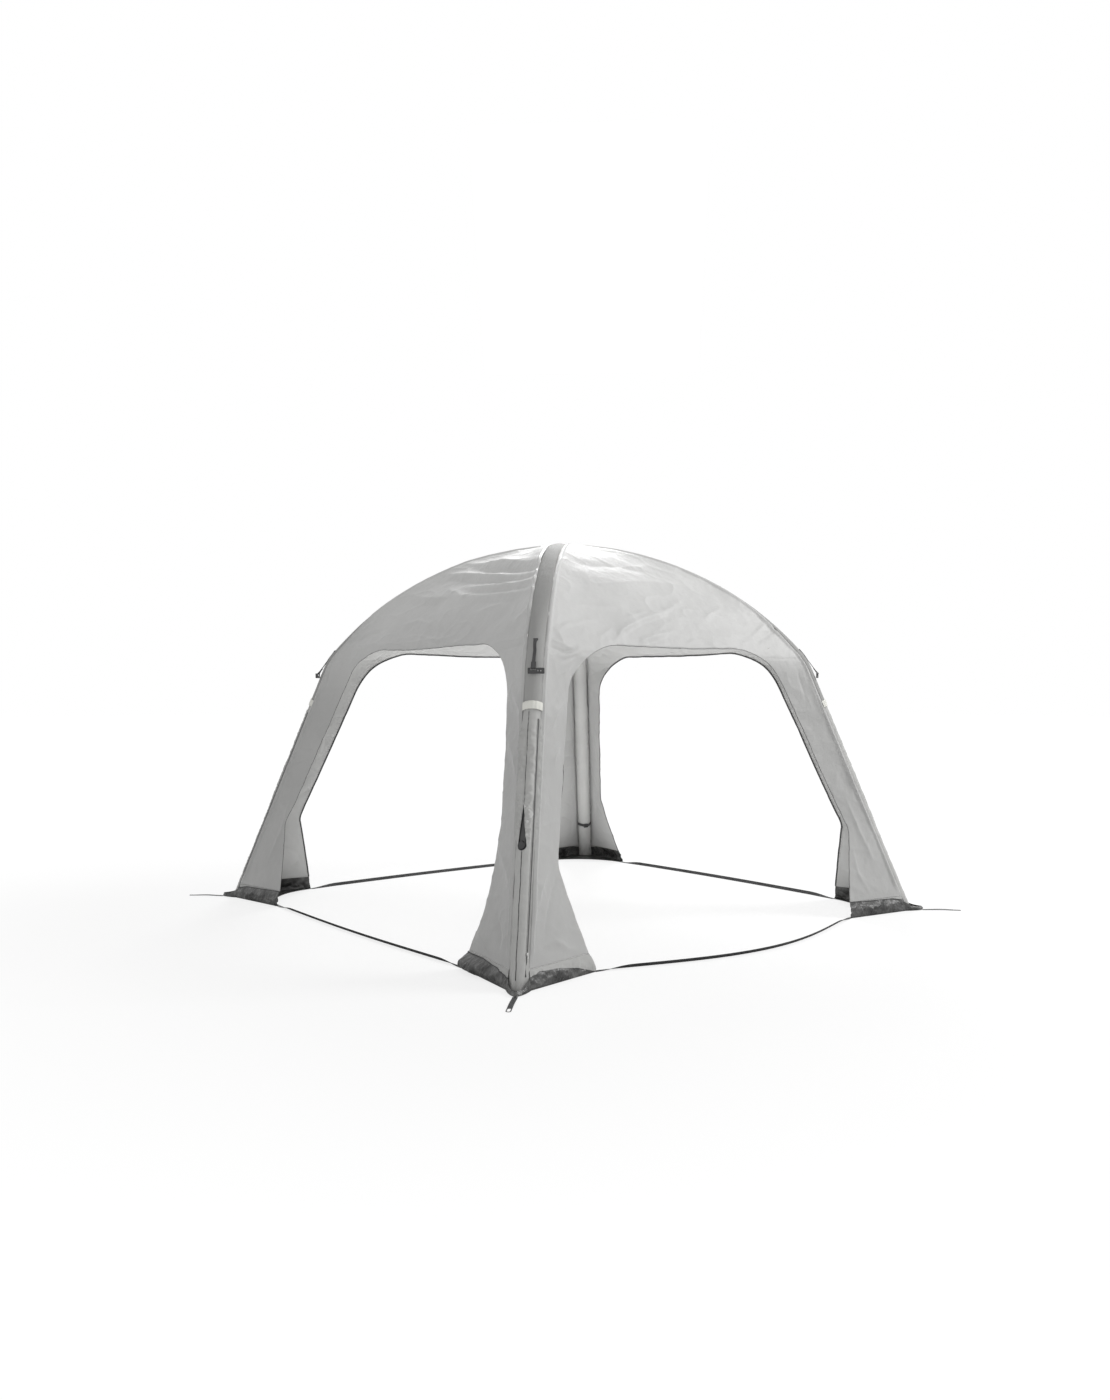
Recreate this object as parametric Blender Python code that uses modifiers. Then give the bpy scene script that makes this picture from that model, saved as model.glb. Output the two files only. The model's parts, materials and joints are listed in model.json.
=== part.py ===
"""Inflatable gazebo with a crossed air frame, a four-sided canopy and four flared legs.

Metres, +Z up, origin on the ground under the crown. A leg's own frame has +X outward along the
diagonal and +Y to the right of someone who faces the leg from outside. A side's own frame has +X
outward through the middle of the doorway.
"""
import math

import bmesh
import bpy
from mathutils import Matrix, Vector

# Overall size
SPAN = 3.65
HEIGHT = 2.30
CLEAR = 0.0003

# Facets, welds and turns
FACET_TURN = math.radians(30)
SHARP_TURN = math.radians(35)
TUBE_RESOLUTION = 4
ROUND_SIDES = 20
SMALL_SIDES = 12
SLOT_STEPS = 8
CORNER_STEPS = 3
WELD = 0.00001
MIRROR_WELD = 0.0001
ON_PLANE = 0.000001
DIAGONAL = 45

# Air frame: the centreline's shoulder corner, the leg and the curves between
BEAM_RADIUS = 0.050
BEAM_WALL = 0.001
SLEEVE_EASE = 0.0006
SLEEVE_WALL = 0.0012
SHOULDER_REACH = 1.510
SHOULDER_HEIGHT = 1.560
SHOULDER_RADIUS = 0.35
LEG_LEAN = math.radians(24.04)
ROOF_STEPS = 8
SHOULDER_STEPS = 3
END_RINGS = (0.5, 0.85, 0.995)
EDGE_ROUNDS = 4

# Canopy and leg fabric
FABRIC = 0.0015
SEAM_GAP = 0.0006
SPLIT_HEIGHT = 1.59
EAVE_HEIGHT = 1.66
DOORWAY_CORNER = 0.29
WING_AT_SHOULDER = 0.233
WING_AT_KINK = 0.194
WING_AT_GROUND = 0.495
KINK_HEIGHT = 0.532
WING_TURN_TOP = math.radians(16.6)
WING_TURN_GROUND = math.radians(9.2)
WING_TURN_HEIGHT = 0.8
ROOF_SAG = 0.032
ROOF_START = 0.075
ROOF_ROWS = 9
LEG_SHARES = (0.0, 0.5, 1.0)
CORNER_TURNS = (15, 32, 49)
LEG_MIDDLE_HEIGHTS = (0.95, 0.31)

# Feet
FLAP_TOP = 0.095
FLAP_WALL = 0.002
BASE_THICKNESS = 0.003
BASE_MARGIN = 0.0015
BASE_HOLLOW = 0.13
HOLLOW_STEPS = 8
NOSE_REACH = 2.333
NOSE_HALF_WIDTH = 0.058
NOSE_POINT = 1.4
NOSE_HEIGHT = 0.022
NOSE_LEAN = 0.006
NOSE_STEPS = 8
WING_FOOT_SHARES = (1.0, 0.62, 0.28, 0.01)

# Webbing on the ground
WEBBING = 0.002
STRAP_WIDTH = 0.025
STRAP_BOW = {"front": 0.24, "right": 0.03, "back": 0.03, "left": 0.03}
STRAP_BOW_POWER = 1.5
STRAP_STEPS = 28
PEG_EYE_LENGTH = 0.032
PEG_EYE_HALF_WIDTH = 0.008

# Guy tab and line runner at the shoulder
TAB_WIDTH = 0.025
TAB_SEWN = 0.075
TAB_FREE = 0.105
TAB_KICK = math.radians(5)
HEM_WALL = 0.0016
HEM_CLEAR = 0.0005
HEM_STEPS = 12
RUNNER_LENGTH = 0.085
RUNNER_HEIGHT = 0.030
RUNNER_THICKNESS = 0.004
RUNNER_BAR = 0.004
RUNNER_SLOT = 0.008
RUNNER_SLOT_WIDTH = 0.029
RUNNER_OFFSET = 0.015
RUNNER_CORNER = 0.004
RUNNER_HOLE = 0.0035
RUNNER_HOLES = 2
RUNNER_HOLE_START = 0.0105
RUNNER_HOLE_PITCH = 0.014

# White band round the sleeve
BAND_LOW = 1.28
BAND_HIGH = 1.32
BAND_WALL = 0.001
BAND_TRIM = 0.004

# Sleeve zip
ZIP_LOW = 0.14
ZIP_HIGH = 1.24
ZIP_TURN = math.radians(45)
ZIP_TAPE_WIDTH = 0.016
ZIP_TAPE = 0.0008
ZIP_COIL_WIDTH = 0.005
ZIP_COIL_HEIGHT = 0.0022
SLIDER_LENGTH = 0.013
SLIDER_WIDTH = 0.011
SLIDER_HEIGHT = 0.0065
SLIDER_EDGE_HEIGHT = 0.0045
SLIDER_END_GAP = 0.004
PULL_OVERLAP = 0.003
PULL_LENGTH = 0.024
PULL_WIDTH = 0.006
PULL_THICKNESS = 0.0015

# Inflation valve on the front left leg
VALVE_HEIGHT = 0.63
VALVE_TURN = math.radians(-15)
VALVE_FLANGE_RADIUS = 0.019
VALVE_FLANGE = 0.0022
VALVE_BOSS_RADIUS = 0.0155
VALVE_BOSS_HEIGHT = 0.014
VALVE_BORE_RADIUS = 0.0118
VALVE_SEAT_RADIUS = 0.0090
VALVE_NECK_RADIUS = 0.0130
VALVE_NECK_DEPTH = 0.006
VALVE_GUIDE_RADIUS = 0.0032
VALVE_ARMS = 3
VALVE_ARM_WIDTH = 0.0024
VALVE_ARM_THICKNESS = 0.0024
PLUNGER_STEM_RADIUS = 0.0015
PLUNGER_BUTTON_RADIUS = 0.0038
PLUNGER_BUTTON = 0.0022
PLUNGER_DISC_RADIUS = 0.0108
PLUNGER_DISC = 0.002
PLUNGER_RISE = 0.010
CAP_RADIUS = 0.0182
CAP_TOP = 0.0022
CAP_SKIRT = 0.003
PIN_RADIUS = 0.0012
PIN_CLEAR = 0.0004
PIN_REACH = 0.0222
PIN_RISE = 0.0105
LUG_GAP = 0.0100
LUG_WALL = 0.0020
LUG_MARGIN = 0.0020
SLIT_RADIUS = 0.0215
SLIT_LENGTH = 0.21
SLIT_DEPTH = 0.03
SLIT_STEPS = 12

LEG_AZIMUTHS = {"front_left": 225, "front_right": 315, "back_right": 45, "back_left": 135}
SIDE_AZIMUTHS = {"front": 270, "right": 0, "back": 90, "left": 180}

SLEEVE_RADIUS = BEAM_RADIUS + SLEEVE_EASE + SLEEVE_WALL
CROWN_HEIGHT = HEIGHT - SLEEVE_RADIUS
DROP = CROWN_HEIGHT - SHOULDER_HEIGHT
ROOF_RADIUS = (SHOULDER_REACH ** 2 + DROP ** 2) / (2 * DROP)
ROOF_CENTRE = Vector((0, 0, CROWN_HEIGHT - ROOF_RADIUS))
LEG_TURN = math.pi / 2 - LEG_LEAN
LEG_DOWN = Vector((math.sin(LEG_LEAN), 0, -math.cos(LEG_LEAN)))
LEG_NORMAL = Vector((math.cos(LEG_LEAN), 0, math.sin(LEG_LEAN)))
EDGE_TURN = 2 * FACET_TURN
EDGE_OUT = SLEEVE_RADIUS * math.cos(EDGE_TURN)
EDGE_ACROSS = SLEEVE_RADIUS * math.sin(EDGE_TURN)
ALONG_SIDE = Vector((-1, 1, 0)).normalized()
INWARD = Vector((-1, -1, 0)).normalized()
BEAM_FACET = BEAM_RADIUS * math.cos(FACET_TURN / 2)
SLEEVE_FACET = SLEEVE_RADIUS * math.cos(FACET_TURN / 2)
STRAP_HALF = STRAP_WIDTH / 2
PEG_REACH = (SPAN / 2 - STRAP_HALF) * math.sqrt(2)


def start_scene():
    for old in list(bpy.data.objects):
        bpy.data.objects.remove(old)
    parts = bpy.data.collections.new("inflatable_gazebo")
    cutters = bpy.data.collections.new("cutters")
    for collection in (parts, cutters):
        bpy.context.scene.collection.children.link(collection)
    return parts, cutters


def make_material(name, colour, roughness, metallic=0.0):
    material = bpy.data.materials.new(name)
    material.use_nodes = True
    shader = material.node_tree.nodes["Principled BSDF"]
    shader.inputs["Base Color"].default_value = (*colour, 1)
    shader.inputs["Roughness"].default_value = roughness
    shader.inputs["Metallic"].default_value = metallic
    return material


def add(name, data, collection, parent=None, place=None, material=None):
    """One named object on its parent empty."""
    item = bpy.data.objects.new(name, data)
    collection.objects.link(item)
    item.parent = parent
    if place is not None:
        item.matrix_local = place
    if material and not data.materials:
        data.materials.append(material)
    return item


def add_frame(name, azimuth, collection):
    frame = bpy.data.objects.new(name, None)
    frame.rotation_euler.z = math.radians(azimuth)
    collection.objects.link(frame)
    return frame


def thicken(item, wall, side=-1):
    """Turn an open surface into a shell: side -1 adds the wall inside, +1 outside."""
    shell = item.modifiers.new("wall", "SOLIDIFY")
    shell.thickness = wall
    shell.offset = side
    shell.use_even_offset = True


def cut(item, cutter, operation="DIFFERENCE"):
    shape = item.modifiers.new("shape", "BOOLEAN")
    shape.object = cutter
    shape.operation = operation
    shape.solver = "EXACT"


def shade(mesh):
    mesh.shade_smooth()
    mesh.set_sharp_from_angle(angle=SHARP_TURN)


def mesh_of_curve(curve):
    """The curve's tessellated mesh with its caps welded on."""
    holder = bpy.data.objects.new("holder", curve)
    bpy.context.scene.collection.objects.link(holder)
    graph = bpy.context.evaluated_depsgraph_get()
    mesh = bpy.data.meshes.new_from_object(holder.evaluated_get(graph))
    bpy.data.objects.remove(holder)
    edit = bmesh.new()
    edit.from_mesh(mesh)
    bmesh.ops.remove_doubles(edit, verts=edit.verts, dist=WELD)
    edit.to_mesh(mesh)
    edit.free()
    return mesh


def tube_mesh(name, points, radius, shares=None, caps=False):
    """A twelve-sided tube along points, with a share of the radius at each."""
    curve = bpy.data.curves.new(name, "CURVE")
    curve.dimensions = "3D"
    curve.bevel_depth = radius
    curve.bevel_resolution = TUBE_RESOLUTION
    curve.use_fill_caps = caps
    spline = curve.splines.new("POLY")
    spline.points.add(len(points) - 1)
    for index, point in enumerate(points):
        spline.points[index].co = (*point, 1)
        spline.points[index].radius = shares[index] if shares else 1
    mesh = mesh_of_curve(curve)
    mesh.name = name
    return mesh


def flat_curve(name, outlines, thickness):
    """Filled flat outlines, the later ones as holes, with half the thickness on each side."""
    curve = bpy.data.curves.new(name, "CURVE")
    curve.dimensions = "2D"
    curve.fill_mode = "BOTH"
    curve.extrude = thickness / 2
    for outline in outlines:
        spline = curve.splines.new("POLY")
        spline.points.add(len(outline) - 1)
        spline.use_cyclic_u = True
        for point, place in zip(spline.points, outline):
            point.co = (place[0], place[1], 0, 1)
    return curve


def grid_mesh(name, rows, flip=False):
    """A surface of quads through rows of points."""
    width = len(rows[0])
    faces = []
    for row in range(len(rows) - 1):
        for column in range(width - 1):
            corner = row * width + column
            face = (corner, corner + 1, corner + width + 1, corner + width)
            faces.append(face[::-1] if flip else face)
    mesh = bpy.data.meshes.new(name)
    mesh.from_pydata([point for line in rows for point in line], [], faces)
    return mesh


def slice_mesh(mesh, planes):
    """Keep the side of each plane that its normal points away from."""
    edit = bmesh.new()
    edit.from_mesh(mesh)
    for point, normal in planes:
        everything = edit.verts[:] + edit.edges[:] + edit.faces[:]
        bmesh.ops.bisect_plane(edit, geom=everything, dist=ON_PLANE, plane_co=point,
                               plane_no=normal, clear_outer=True)
    edit.to_mesh(mesh)
    edit.free()
    return mesh


def box_mesh(name, low, high):
    mesh = bpy.data.meshes.new(name)
    edit = bmesh.new()
    bmesh.ops.create_cube(edit, size=1)
    middle = [(a + b) / 2 for a, b in zip(low, high)]
    size = [b - a for a, b in zip(low, high)]
    bmesh.ops.scale(edit, verts=edit.verts, vec=size)
    bmesh.ops.translate(edit, verts=edit.verts, vec=middle)
    edit.to_mesh(mesh)
    edit.free()
    return mesh


def rod_mesh(name, radius, length, axis="Z", centre=(0, 0, 0), sides=ROUND_SIDES):
    mesh = bpy.data.meshes.new(name)
    edit = bmesh.new()
    bmesh.ops.create_cone(edit, cap_ends=True, segments=sides, radius1=radius, radius2=radius,
                          depth=length)
    turn = Matrix.Rotation(math.pi / 2, 4, "Y") if axis == "X" else Matrix.Identity(4)
    bmesh.ops.transform(edit, matrix=Matrix.Translation(centre) @ turn, verts=edit.verts)
    edit.to_mesh(mesh)
    edit.free()
    return mesh


def turned(name, profile, collection, parent, place, material, closed=True):
    """A profile of (radius, height) points turned round the local Z axis."""
    mesh = bpy.data.meshes.new(name)
    count = len(profile)
    edges = [(index, index + 1) for index in range(count - 1)]
    if closed:
        edges.append((count - 1, 0))
    mesh.from_pydata([(radius, 0, height) for radius, height in profile], edges, [])
    item = add(name, mesh, collection, parent, place, material)
    screw = item.modifiers.new("turn", "SCREW")
    screw.steps = ROUND_SIDES
    screw.render_steps = ROUND_SIDES
    screw.use_merge_vertices = True
    screw.merge_threshold = WELD
    return item


def helper(name, mesh, cutters, parent, place):
    """A hidden shape that another object is cut with or joined to."""
    item = add(name, mesh, cutters, parent, place)
    item.hide_render = True
    item.display_type = "WIRE"
    return item


def find_shoulder_centre():
    """Centre of the curve that touches the roof arc and the leg line from inside."""
    corner = Vector((SHOULDER_REACH, 0, SHOULDER_HEIGHT))
    offset = corner - LEG_NORMAL * SHOULDER_RADIUS - ROOF_CENTRE
    along = offset.dot(LEG_DOWN)
    beyond = offset.length_squared - (ROOF_RADIUS - SHOULDER_RADIUS) ** 2
    travel = -along - math.sqrt(along * along - beyond)
    return ROOF_CENTRE + offset + LEG_DOWN * travel


SHOULDER_CENTRE = find_shoulder_centre()
ROOF_TURN = math.atan2(SHOULDER_CENTRE.x, SHOULDER_CENTRE.z - ROOF_CENTRE.z)


def normal_at(turn):
    return Vector((math.sin(turn), 0, math.cos(turn)))


def centre_at(turn):
    """Point of the beam's centreline where its normal leans by turn from vertical."""
    if turn <= ROOF_TURN:
        return ROOF_CENTRE + normal_at(turn) * ROOF_RADIUS
    return SHOULDER_CENTRE + normal_at(turn) * SHOULDER_RADIUS


LEG_TOP = centre_at(LEG_TURN)


def leg_point(height):
    return LEG_TOP + LEG_DOWN * ((LEG_TOP.z - height) / math.cos(LEG_LEAN))


def frame_turns():
    roof = [ROOF_TURN * step / ROOF_STEPS for step in range(1, ROOF_STEPS + 1)]
    bend = (LEG_TURN - ROOF_TURN) / SHOULDER_STEPS
    return roof + [ROOF_TURN + bend * step for step in range(1, SHOULDER_STEPS + 1)]


def rib_at(height):
    """Centreline point and outward normal at a height of the centreline."""
    if height <= LEG_TOP.z:
        return leg_point(height), LEG_NORMAL
    if height <= centre_at(ROOF_TURN).z:
        turn = math.acos((height - SHOULDER_CENTRE.z) / SHOULDER_RADIUS)
    else:
        turn = math.acos(min(1, (height - ROOF_CENTRE.z) / ROOF_RADIUS))
    return centre_at(turn), normal_at(turn)


def edge_at(height):
    """Where the fabric leaves the sleeve at about this height, clear of the sleeve's facet."""
    centre, normal = rib_at(height)
    for _ in range(EDGE_ROUNDS):
        centre, normal = rib_at(height - normal.z * EDGE_OUT)
    lean = normal.dot(ALONG_SIDE)
    spread = math.hypot(lean, ALONG_SIDE.y)
    step_out = FABRIC * (-lean + ALONG_SIDE.y * math.tan(FACET_TURN / 2)) / spread + CLEAR
    return centre + normal * EDGE_OUT + Vector((0, EDGE_ACROSS + step_out, 0)), normal


def half_width(height):
    """From the fabric's edge at the rib to the middle of the side."""
    edge, _ = edge_at(height)
    return (edge.x - edge.y) / math.sqrt(2)


def straight_width(height):
    share = (height - KINK_HEIGHT) / (SPLIT_HEIGHT - KINK_HEIGHT)
    return WING_AT_KINK + (WING_AT_SHOULDER - WING_AT_KINK) * share


def wing_width(height):
    """Width of a leg panel, from the sleeve to the doorway."""
    if height < KINK_HEIGHT:
        return WING_AT_GROUND + (WING_AT_KINK - WING_AT_GROUND) * height / KINK_HEIGHT
    rise = height - (EAVE_HEIGHT - DOORWAY_CORNER)
    if rise <= 0:
        return straight_width(height)
    reach = min(rise, DOORWAY_CORNER)
    return straight_width(height) + DOORWAY_CORNER - math.sqrt(DOORWAY_CORNER ** 2 - reach ** 2)


def doorway_height(across):
    """Height of the roof panel's lower edge at a distance from the rib."""
    if across <= wing_width(SPLIT_HEIGHT):
        return SPLIT_HEIGHT
    reach = DOORWAY_CORNER + straight_width(SPLIT_HEIGHT) - across
    if reach <= 0:
        return EAVE_HEIGHT
    return EAVE_HEIGHT - DOORWAY_CORNER + math.sqrt(DOORWAY_CORNER ** 2 - reach ** 2)


def skin(height, across):
    """Point of the fabric's outer face to the right of the leg, in the leg's frame."""
    edge, normal = edge_at(height)
    share = min(1, max(0, (EAVE_HEIGHT - height) / DOORWAY_CORNER))
    as_leg = share * share * (3 - 2 * share)
    rise = min(1, max(0, height / WING_TURN_HEIGHT))
    turn = WING_TURN_GROUND + (WING_TURN_TOP - WING_TURN_GROUND) * rise
    width = half_width(height)
    sag = ROOF_SAG * width * (1 - (1 - across / width) ** 2)
    steep = math.atan2(normal.x, normal.z * math.sqrt(2))
    into = INWARD * math.sin(steep) - Vector((0, 0, math.cos(steep)))
    bend = INWARD * (as_leg * across * math.tan(turn)) + into * ((1 - as_leg) * sag)
    return edge + ALONG_SIDE * across + bend


def roof_rows():
    """Rows of one half of a roof panel, in the side's frame, crown first."""
    wing = wing_width(SPLIT_HEIGHT)
    corner = straight_width(SPLIT_HEIGHT) + DOORWAY_CORNER
    width = half_width(EAVE_HEIGHT)
    stops = [0, wing / 2, wing, (wing + corner) / 2, corner, (corner + width) / 2, width]
    shares = [stop / width for stop in stops]
    first = math.asin((ROOF_START + EDGE_ACROSS) / ROOF_RADIUS)
    eave = math.acos((EAVE_HEIGHT - EDGE_OUT - ROOF_CENTRE.z) / ROOF_RADIUS)
    turn_back = Matrix.Rotation(math.radians(-DIAGONAL), 4, "Z")
    rows = []
    for step in range(ROOF_ROWS):
        turn = first + (eave - first) * (step / ROOF_ROWS)
        height = centre_at(turn).z + normal_at(turn).z * EDGE_OUT
        row_width = half_width(height)
        rows.append([turn_back @ skin(height, share * row_width) for share in shares])
    last = []
    for stop in stops:
        height = doorway_height(stop)
        across = min(stop, half_width(height))
        last.append(turn_back @ skin(height + SEAM_GAP / 2, across))
    for row in rows + [last]:
        row[-1].y = 0
    return rows + [last]


def leg_rows(side):
    arc = [EAVE_HEIGHT - DOORWAY_CORNER * (1 - math.sin(math.radians(turn)))
           for turn in reversed(CORNER_TURNS)]
    low = FLAP_TOP + SEAM_GAP
    straight = [EAVE_HEIGHT - DOORWAY_CORNER, LEG_MIDDLE_HEIGHTS[0], KINK_HEIGHT,
                LEG_MIDDLE_HEIGHTS[1], low]
    heights = [SPLIT_HEIGHT - SEAM_GAP / 2] + [height for height in arc if height < SPLIT_HEIGHT]
    rows = []
    for height in heights + straight:
        row = [skin(height, share * wing_width(height)) for share in LEG_SHARES]
        rows.append([Vector((point.x, side * point.y, point.z)) for point in row])
    return rows


def foot_columns():
    """Bottom and top points of the mud flap, from its right end round the nose to its left."""
    low = BASE_THICKNESS + CLEAR
    wing = []
    for share in WING_FOOT_SHARES:
        bottom = skin(low, share * wing_width(low))
        bottom.z = low
        wing.append((bottom, skin(FLAP_TOP, share * wing_width(FLAP_TOP))))
    root = leg_point(0).x
    nose = []
    for step in range(1, NOSE_STEPS):
        turn = math.pi / 2 - math.pi * step / NOSE_STEPS
        x = math.cos(turn) ** NOSE_POINT * (NOSE_REACH - root)
        y = math.copysign(abs(math.sin(turn)) ** NOSE_POINT, math.sin(turn)) * NOSE_HALF_WIDTH
        out = Vector((x, y, 0))
        foot = Vector((root, 0, low)) + out
        top = foot - out.normalized() * NOSE_LEAN + Vector((0, 0, NOSE_HEIGHT))
        nose.append((foot, top))
    mirrored = [tuple(Vector((p.x, -p.y, p.z)) for p in pair) for pair in reversed(wing)]
    return wing + nose + mirrored


def offset_path(points, distance):
    """Plan points moved to the right of the way that they run."""
    moved = []
    for index, point in enumerate(points):
        before = points[max(0, index - 1)]
        after = points[min(len(points) - 1, index + 1)]
        way = Vector((after.x - before.x, after.y - before.y)).normalized()
        moved.append((point.x - way.y * distance, point.y + way.x * distance))
    return moved


def base_outline():
    """The foot base's plan: the flap's line, blunt ends for the webbing and a hollow edge."""
    outer = offset_path([bottom for bottom, _ in foot_columns()], FLAP_WALL + BASE_MARGIN)
    inner_right = strap_root(STRAP_WIDTH)
    inner_left = Vector((inner_right.x, -inner_right.y))
    chord = inner_right.y - inner_left.y
    radius = (chord ** 2 / 4 + BASE_HOLLOW ** 2) / (2 * BASE_HOLLOW)
    reach = math.asin(chord / 2 / radius)
    hollow = []
    for step in range(1, HOLLOW_STEPS):
        turn = -reach + 2 * reach * step / HOLLOW_STEPS
        x = inner_left.x + BASE_HOLLOW - radius * (1 - math.cos(turn))
        hollow.append((x, radius * math.sin(turn)))
    return outer + [(inner_left.x, inner_left.y)] + hollow + [(inner_right.x, inner_right.y)]


def strap_root(inward):
    """Plan point of the base's right end, moved across the webbing towards the inside."""
    bottom = [bottom for bottom, _ in foot_columns()][:2]
    end = Vector(offset_path(bottom, FLAP_WALL + BASE_MARGIN)[0])
    return end + Vector((INWARD.x, INWARD.y)) * inward


def stadium(start, end, half, steps=SLOT_STEPS):
    """A slot outline along X with a round end at each side."""
    points = []
    for centre, first in ((end, -math.pi / 2), (start, math.pi / 2)):
        for step in range(steps + 1):
            turn = first + math.pi * step / steps
            points.append((centre + half * math.cos(turn), half * math.sin(turn)))
    return points


def rounded_box(low, high, corner):
    points = []
    centres = ((high[0] - corner, low[1] + corner, -90), (high[0] - corner, high[1] - corner, 0),
               (low[0] + corner, high[1] - corner, 90), (low[0] + corner, low[1] + corner, 180))
    for x, y, first in centres:
        for step in range(CORNER_STEPS + 1):
            turn = math.radians(first + 90 * step / CORNER_STEPS)
            points.append((x + corner * math.cos(turn), y + corner * math.sin(turn)))
    return points


def leg_place(height, turn):
    """Frame on the beam's axis: Z outward at a turn round the leg, Y up along the leg."""
    out = LEG_NORMAL * math.cos(turn) + Vector((0, math.sin(turn), 0))
    up = -LEG_DOWN
    across = up.cross(out)
    place = Matrix((across, up, out)).transposed().to_4x4()
    place.translation = leg_point(height)
    return place


def make_frame(parts, legs, materials):
    """The crown joint of the bladder and the four air beams, all open into each other."""
    first, second = frame_turns()[:2]
    points = [crown_start(first), centre_at(0), centre_at(first), centre_at(second)]
    quarter = tube_mesh("crown_joint", points, BEAM_RADIUS)
    slice_mesh(quarter, [(centre_at(first), tangent_at(first))])
    quarter.transform(Matrix.Rotation(math.radians(DIAGONAL), 4, "Z"))
    slice_mesh(quarter, [((0, 0, 0), (-1, 0, 0)), ((0, 0, 0), (0, -1, 0))])
    joint = add("crown_joint", quarter, parts, None, None, materials["bladder"])
    mirror = joint.modifiers.new("cross", "MIRROR")
    mirror.use_axis = (True, True, False)
    mirror.merge_threshold = MIRROR_WELD
    thicken(joint, BEAM_WALL)
    beam = beam_mesh(first)
    beams = {}
    for name, leg in legs.items():
        beams[name] = add("air_beam_" + name, beam, parts, leg, None, materials["bladder"])
        thicken(beams[name], BEAM_WALL)
    return beams


def crown_start(first):
    """Point beyond the crown, as far as the first station is on this side."""
    return centre_at(0) - Vector((first * ROOF_RADIUS, 0, 0))


def tangent_at(turn):
    return Vector((math.cos(turn), 0, -math.sin(turn)))


def beam_mesh(first):
    """A tube from the crown joint to a round end on the foot base, open at the crown."""
    points = [centre_at(0)] + [centre_at(turn) for turn in frame_turns()]
    end = leg_point(BASE_THICKNESS + CLEAR + BEAM_RADIUS)
    points.append(end)
    shares = [1] * len(points)
    for share in END_RINGS:
        points.append(end + LEG_DOWN * (BEAM_RADIUS * share))
        shares.append(math.sqrt(1 - share * share))
    mesh = tube_mesh("air_beam", points, BEAM_RADIUS, shares, caps=True)
    way = tangent_at(first)
    return slice_mesh(mesh, [(centre_at(first) + way * CLEAR, -way)])


def sleeve_mesh():
    """The sewn sleeve, mitred against its neighbours at the crown, cut level at the foot."""
    turns = frame_turns()
    points = [crown_start(turns[0]), centre_at(0)] + [centre_at(turn) for turn in turns]
    points.append(leg_point(-BEAM_RADIUS))
    mesh = tube_mesh("beam_sleeve", points, SLEEVE_RADIUS)
    gap = -INWARD * (CLEAR / 2)
    right = Vector((gap.x * math.sqrt(2), 0, 0))
    low = Vector((0, 0, BASE_THICKNESS + CLEAR + SLEEVE_WALL * LEG_NORMAL.z))
    return slice_mesh(mesh, [(right, (-1, 1, 0)), (right, (-1, -1, 0)), (low, (0, 0, -1))])


def make_sleeves(parts, legs, materials):
    mesh = sleeve_mesh()
    sleeves = {}
    for name, leg in legs.items():
        sleeves[name] = add("beam_sleeve_" + name, mesh, parts, leg, None, materials["band"])
        thicken(sleeves[name], SLEEVE_WALL)
    return sleeves


def make_canopy(parts, legs, sides, materials):
    roof = grid_mesh("roof_panel", roof_rows())
    for name, side in sides.items():
        panel = add("roof_panel_" + name, roof, parts, side, None, materials["roof"])
        mirror = panel.modifiers.new("other_half", "MIRROR")
        mirror.use_axis = (False, True, False)
        mirror.merge_threshold = MIRROR_WELD
        thicken(panel, FABRIC)
    meshes = {1: grid_mesh("leg_panel_right", leg_rows(1)),
              -1: grid_mesh("leg_panel_left", leg_rows(-1), flip=True)}
    for name, leg in legs.items():
        for hand, mesh in meshes.items():
            azimuth = (LEG_AZIMUTHS[name] + DIAGONAL * hand) % 360
            side = next(key for key, value in SIDE_AZIMUTHS.items() if value == azimuth)
            panel = add(f"leg_panel_{name}_{side}", mesh, parts, leg, None, materials["leg"])
            thicken(panel, FABRIC)


def make_feet(parts, legs, materials):
    columns = foot_columns()
    flap = grid_mesh("mud_flap", [[top for _, top in columns], [foot for foot, _ in columns]])
    base = flat_curve("foot_base", [base_outline()], BASE_THICKNESS)
    nose = max(x for x, _ in base_outline())
    loop = flat_curve("peg_loop", [loop_outline(nose + CLEAR), eye_outline()], WEBBING)
    on_ground = Matrix.Translation((0, 0, BASE_THICKNESS / 2))
    for name, leg in legs.items():
        thicken(add("mud_flap_" + name, flap, parts, leg, None, materials["pvc"]), FLAP_WALL, 1)
        add("foot_base_" + name, base, parts, leg, on_ground, materials["pvc"])
        add("peg_loop_" + name, loop, parts, leg, Matrix.Translation((0, 0, WEBBING / 2)),
            materials["webbing"])


def loop_outline(start):
    end = [point for point in stadium(start, PEG_REACH, STRAP_HALF) if point[0] >= PEG_REACH]
    return [(start, -STRAP_HALF)] + end + [(start, STRAP_HALF)]


def eye_outline():
    return stadium(PEG_REACH - PEG_EYE_LENGTH, PEG_REACH, PEG_EYE_HALF_WIDTH)


def make_straps(parts, sides, materials):
    """Webbing that lies on the ground between neighbouring feet."""
    root = strap_root(STRAP_HALF)
    start = Matrix.Rotation(math.radians(-DIAGONAL), 2) @ root
    first = start.y + CLEAR
    for name, side in sides.items():
        rows = [[], []]
        for step in range(STRAP_STEPS + 1):
            share = step / STRAP_STEPS
            y = first * (1 - 2 * share)
            x = start.x + STRAP_BOW[name] * math.sin(math.pi * share) ** STRAP_BOW_POWER
            rows[0].append(Vector((x - STRAP_HALF, y, WEBBING)))
            rows[1].append(Vector((x + STRAP_HALF, y, WEBBING)))
        strap = grid_mesh("ground_strap_" + name, rows, True)
        thicken(add("ground_strap_" + name, strap, parts, side, None, materials["webbing"]),
                WEBBING)


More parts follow.
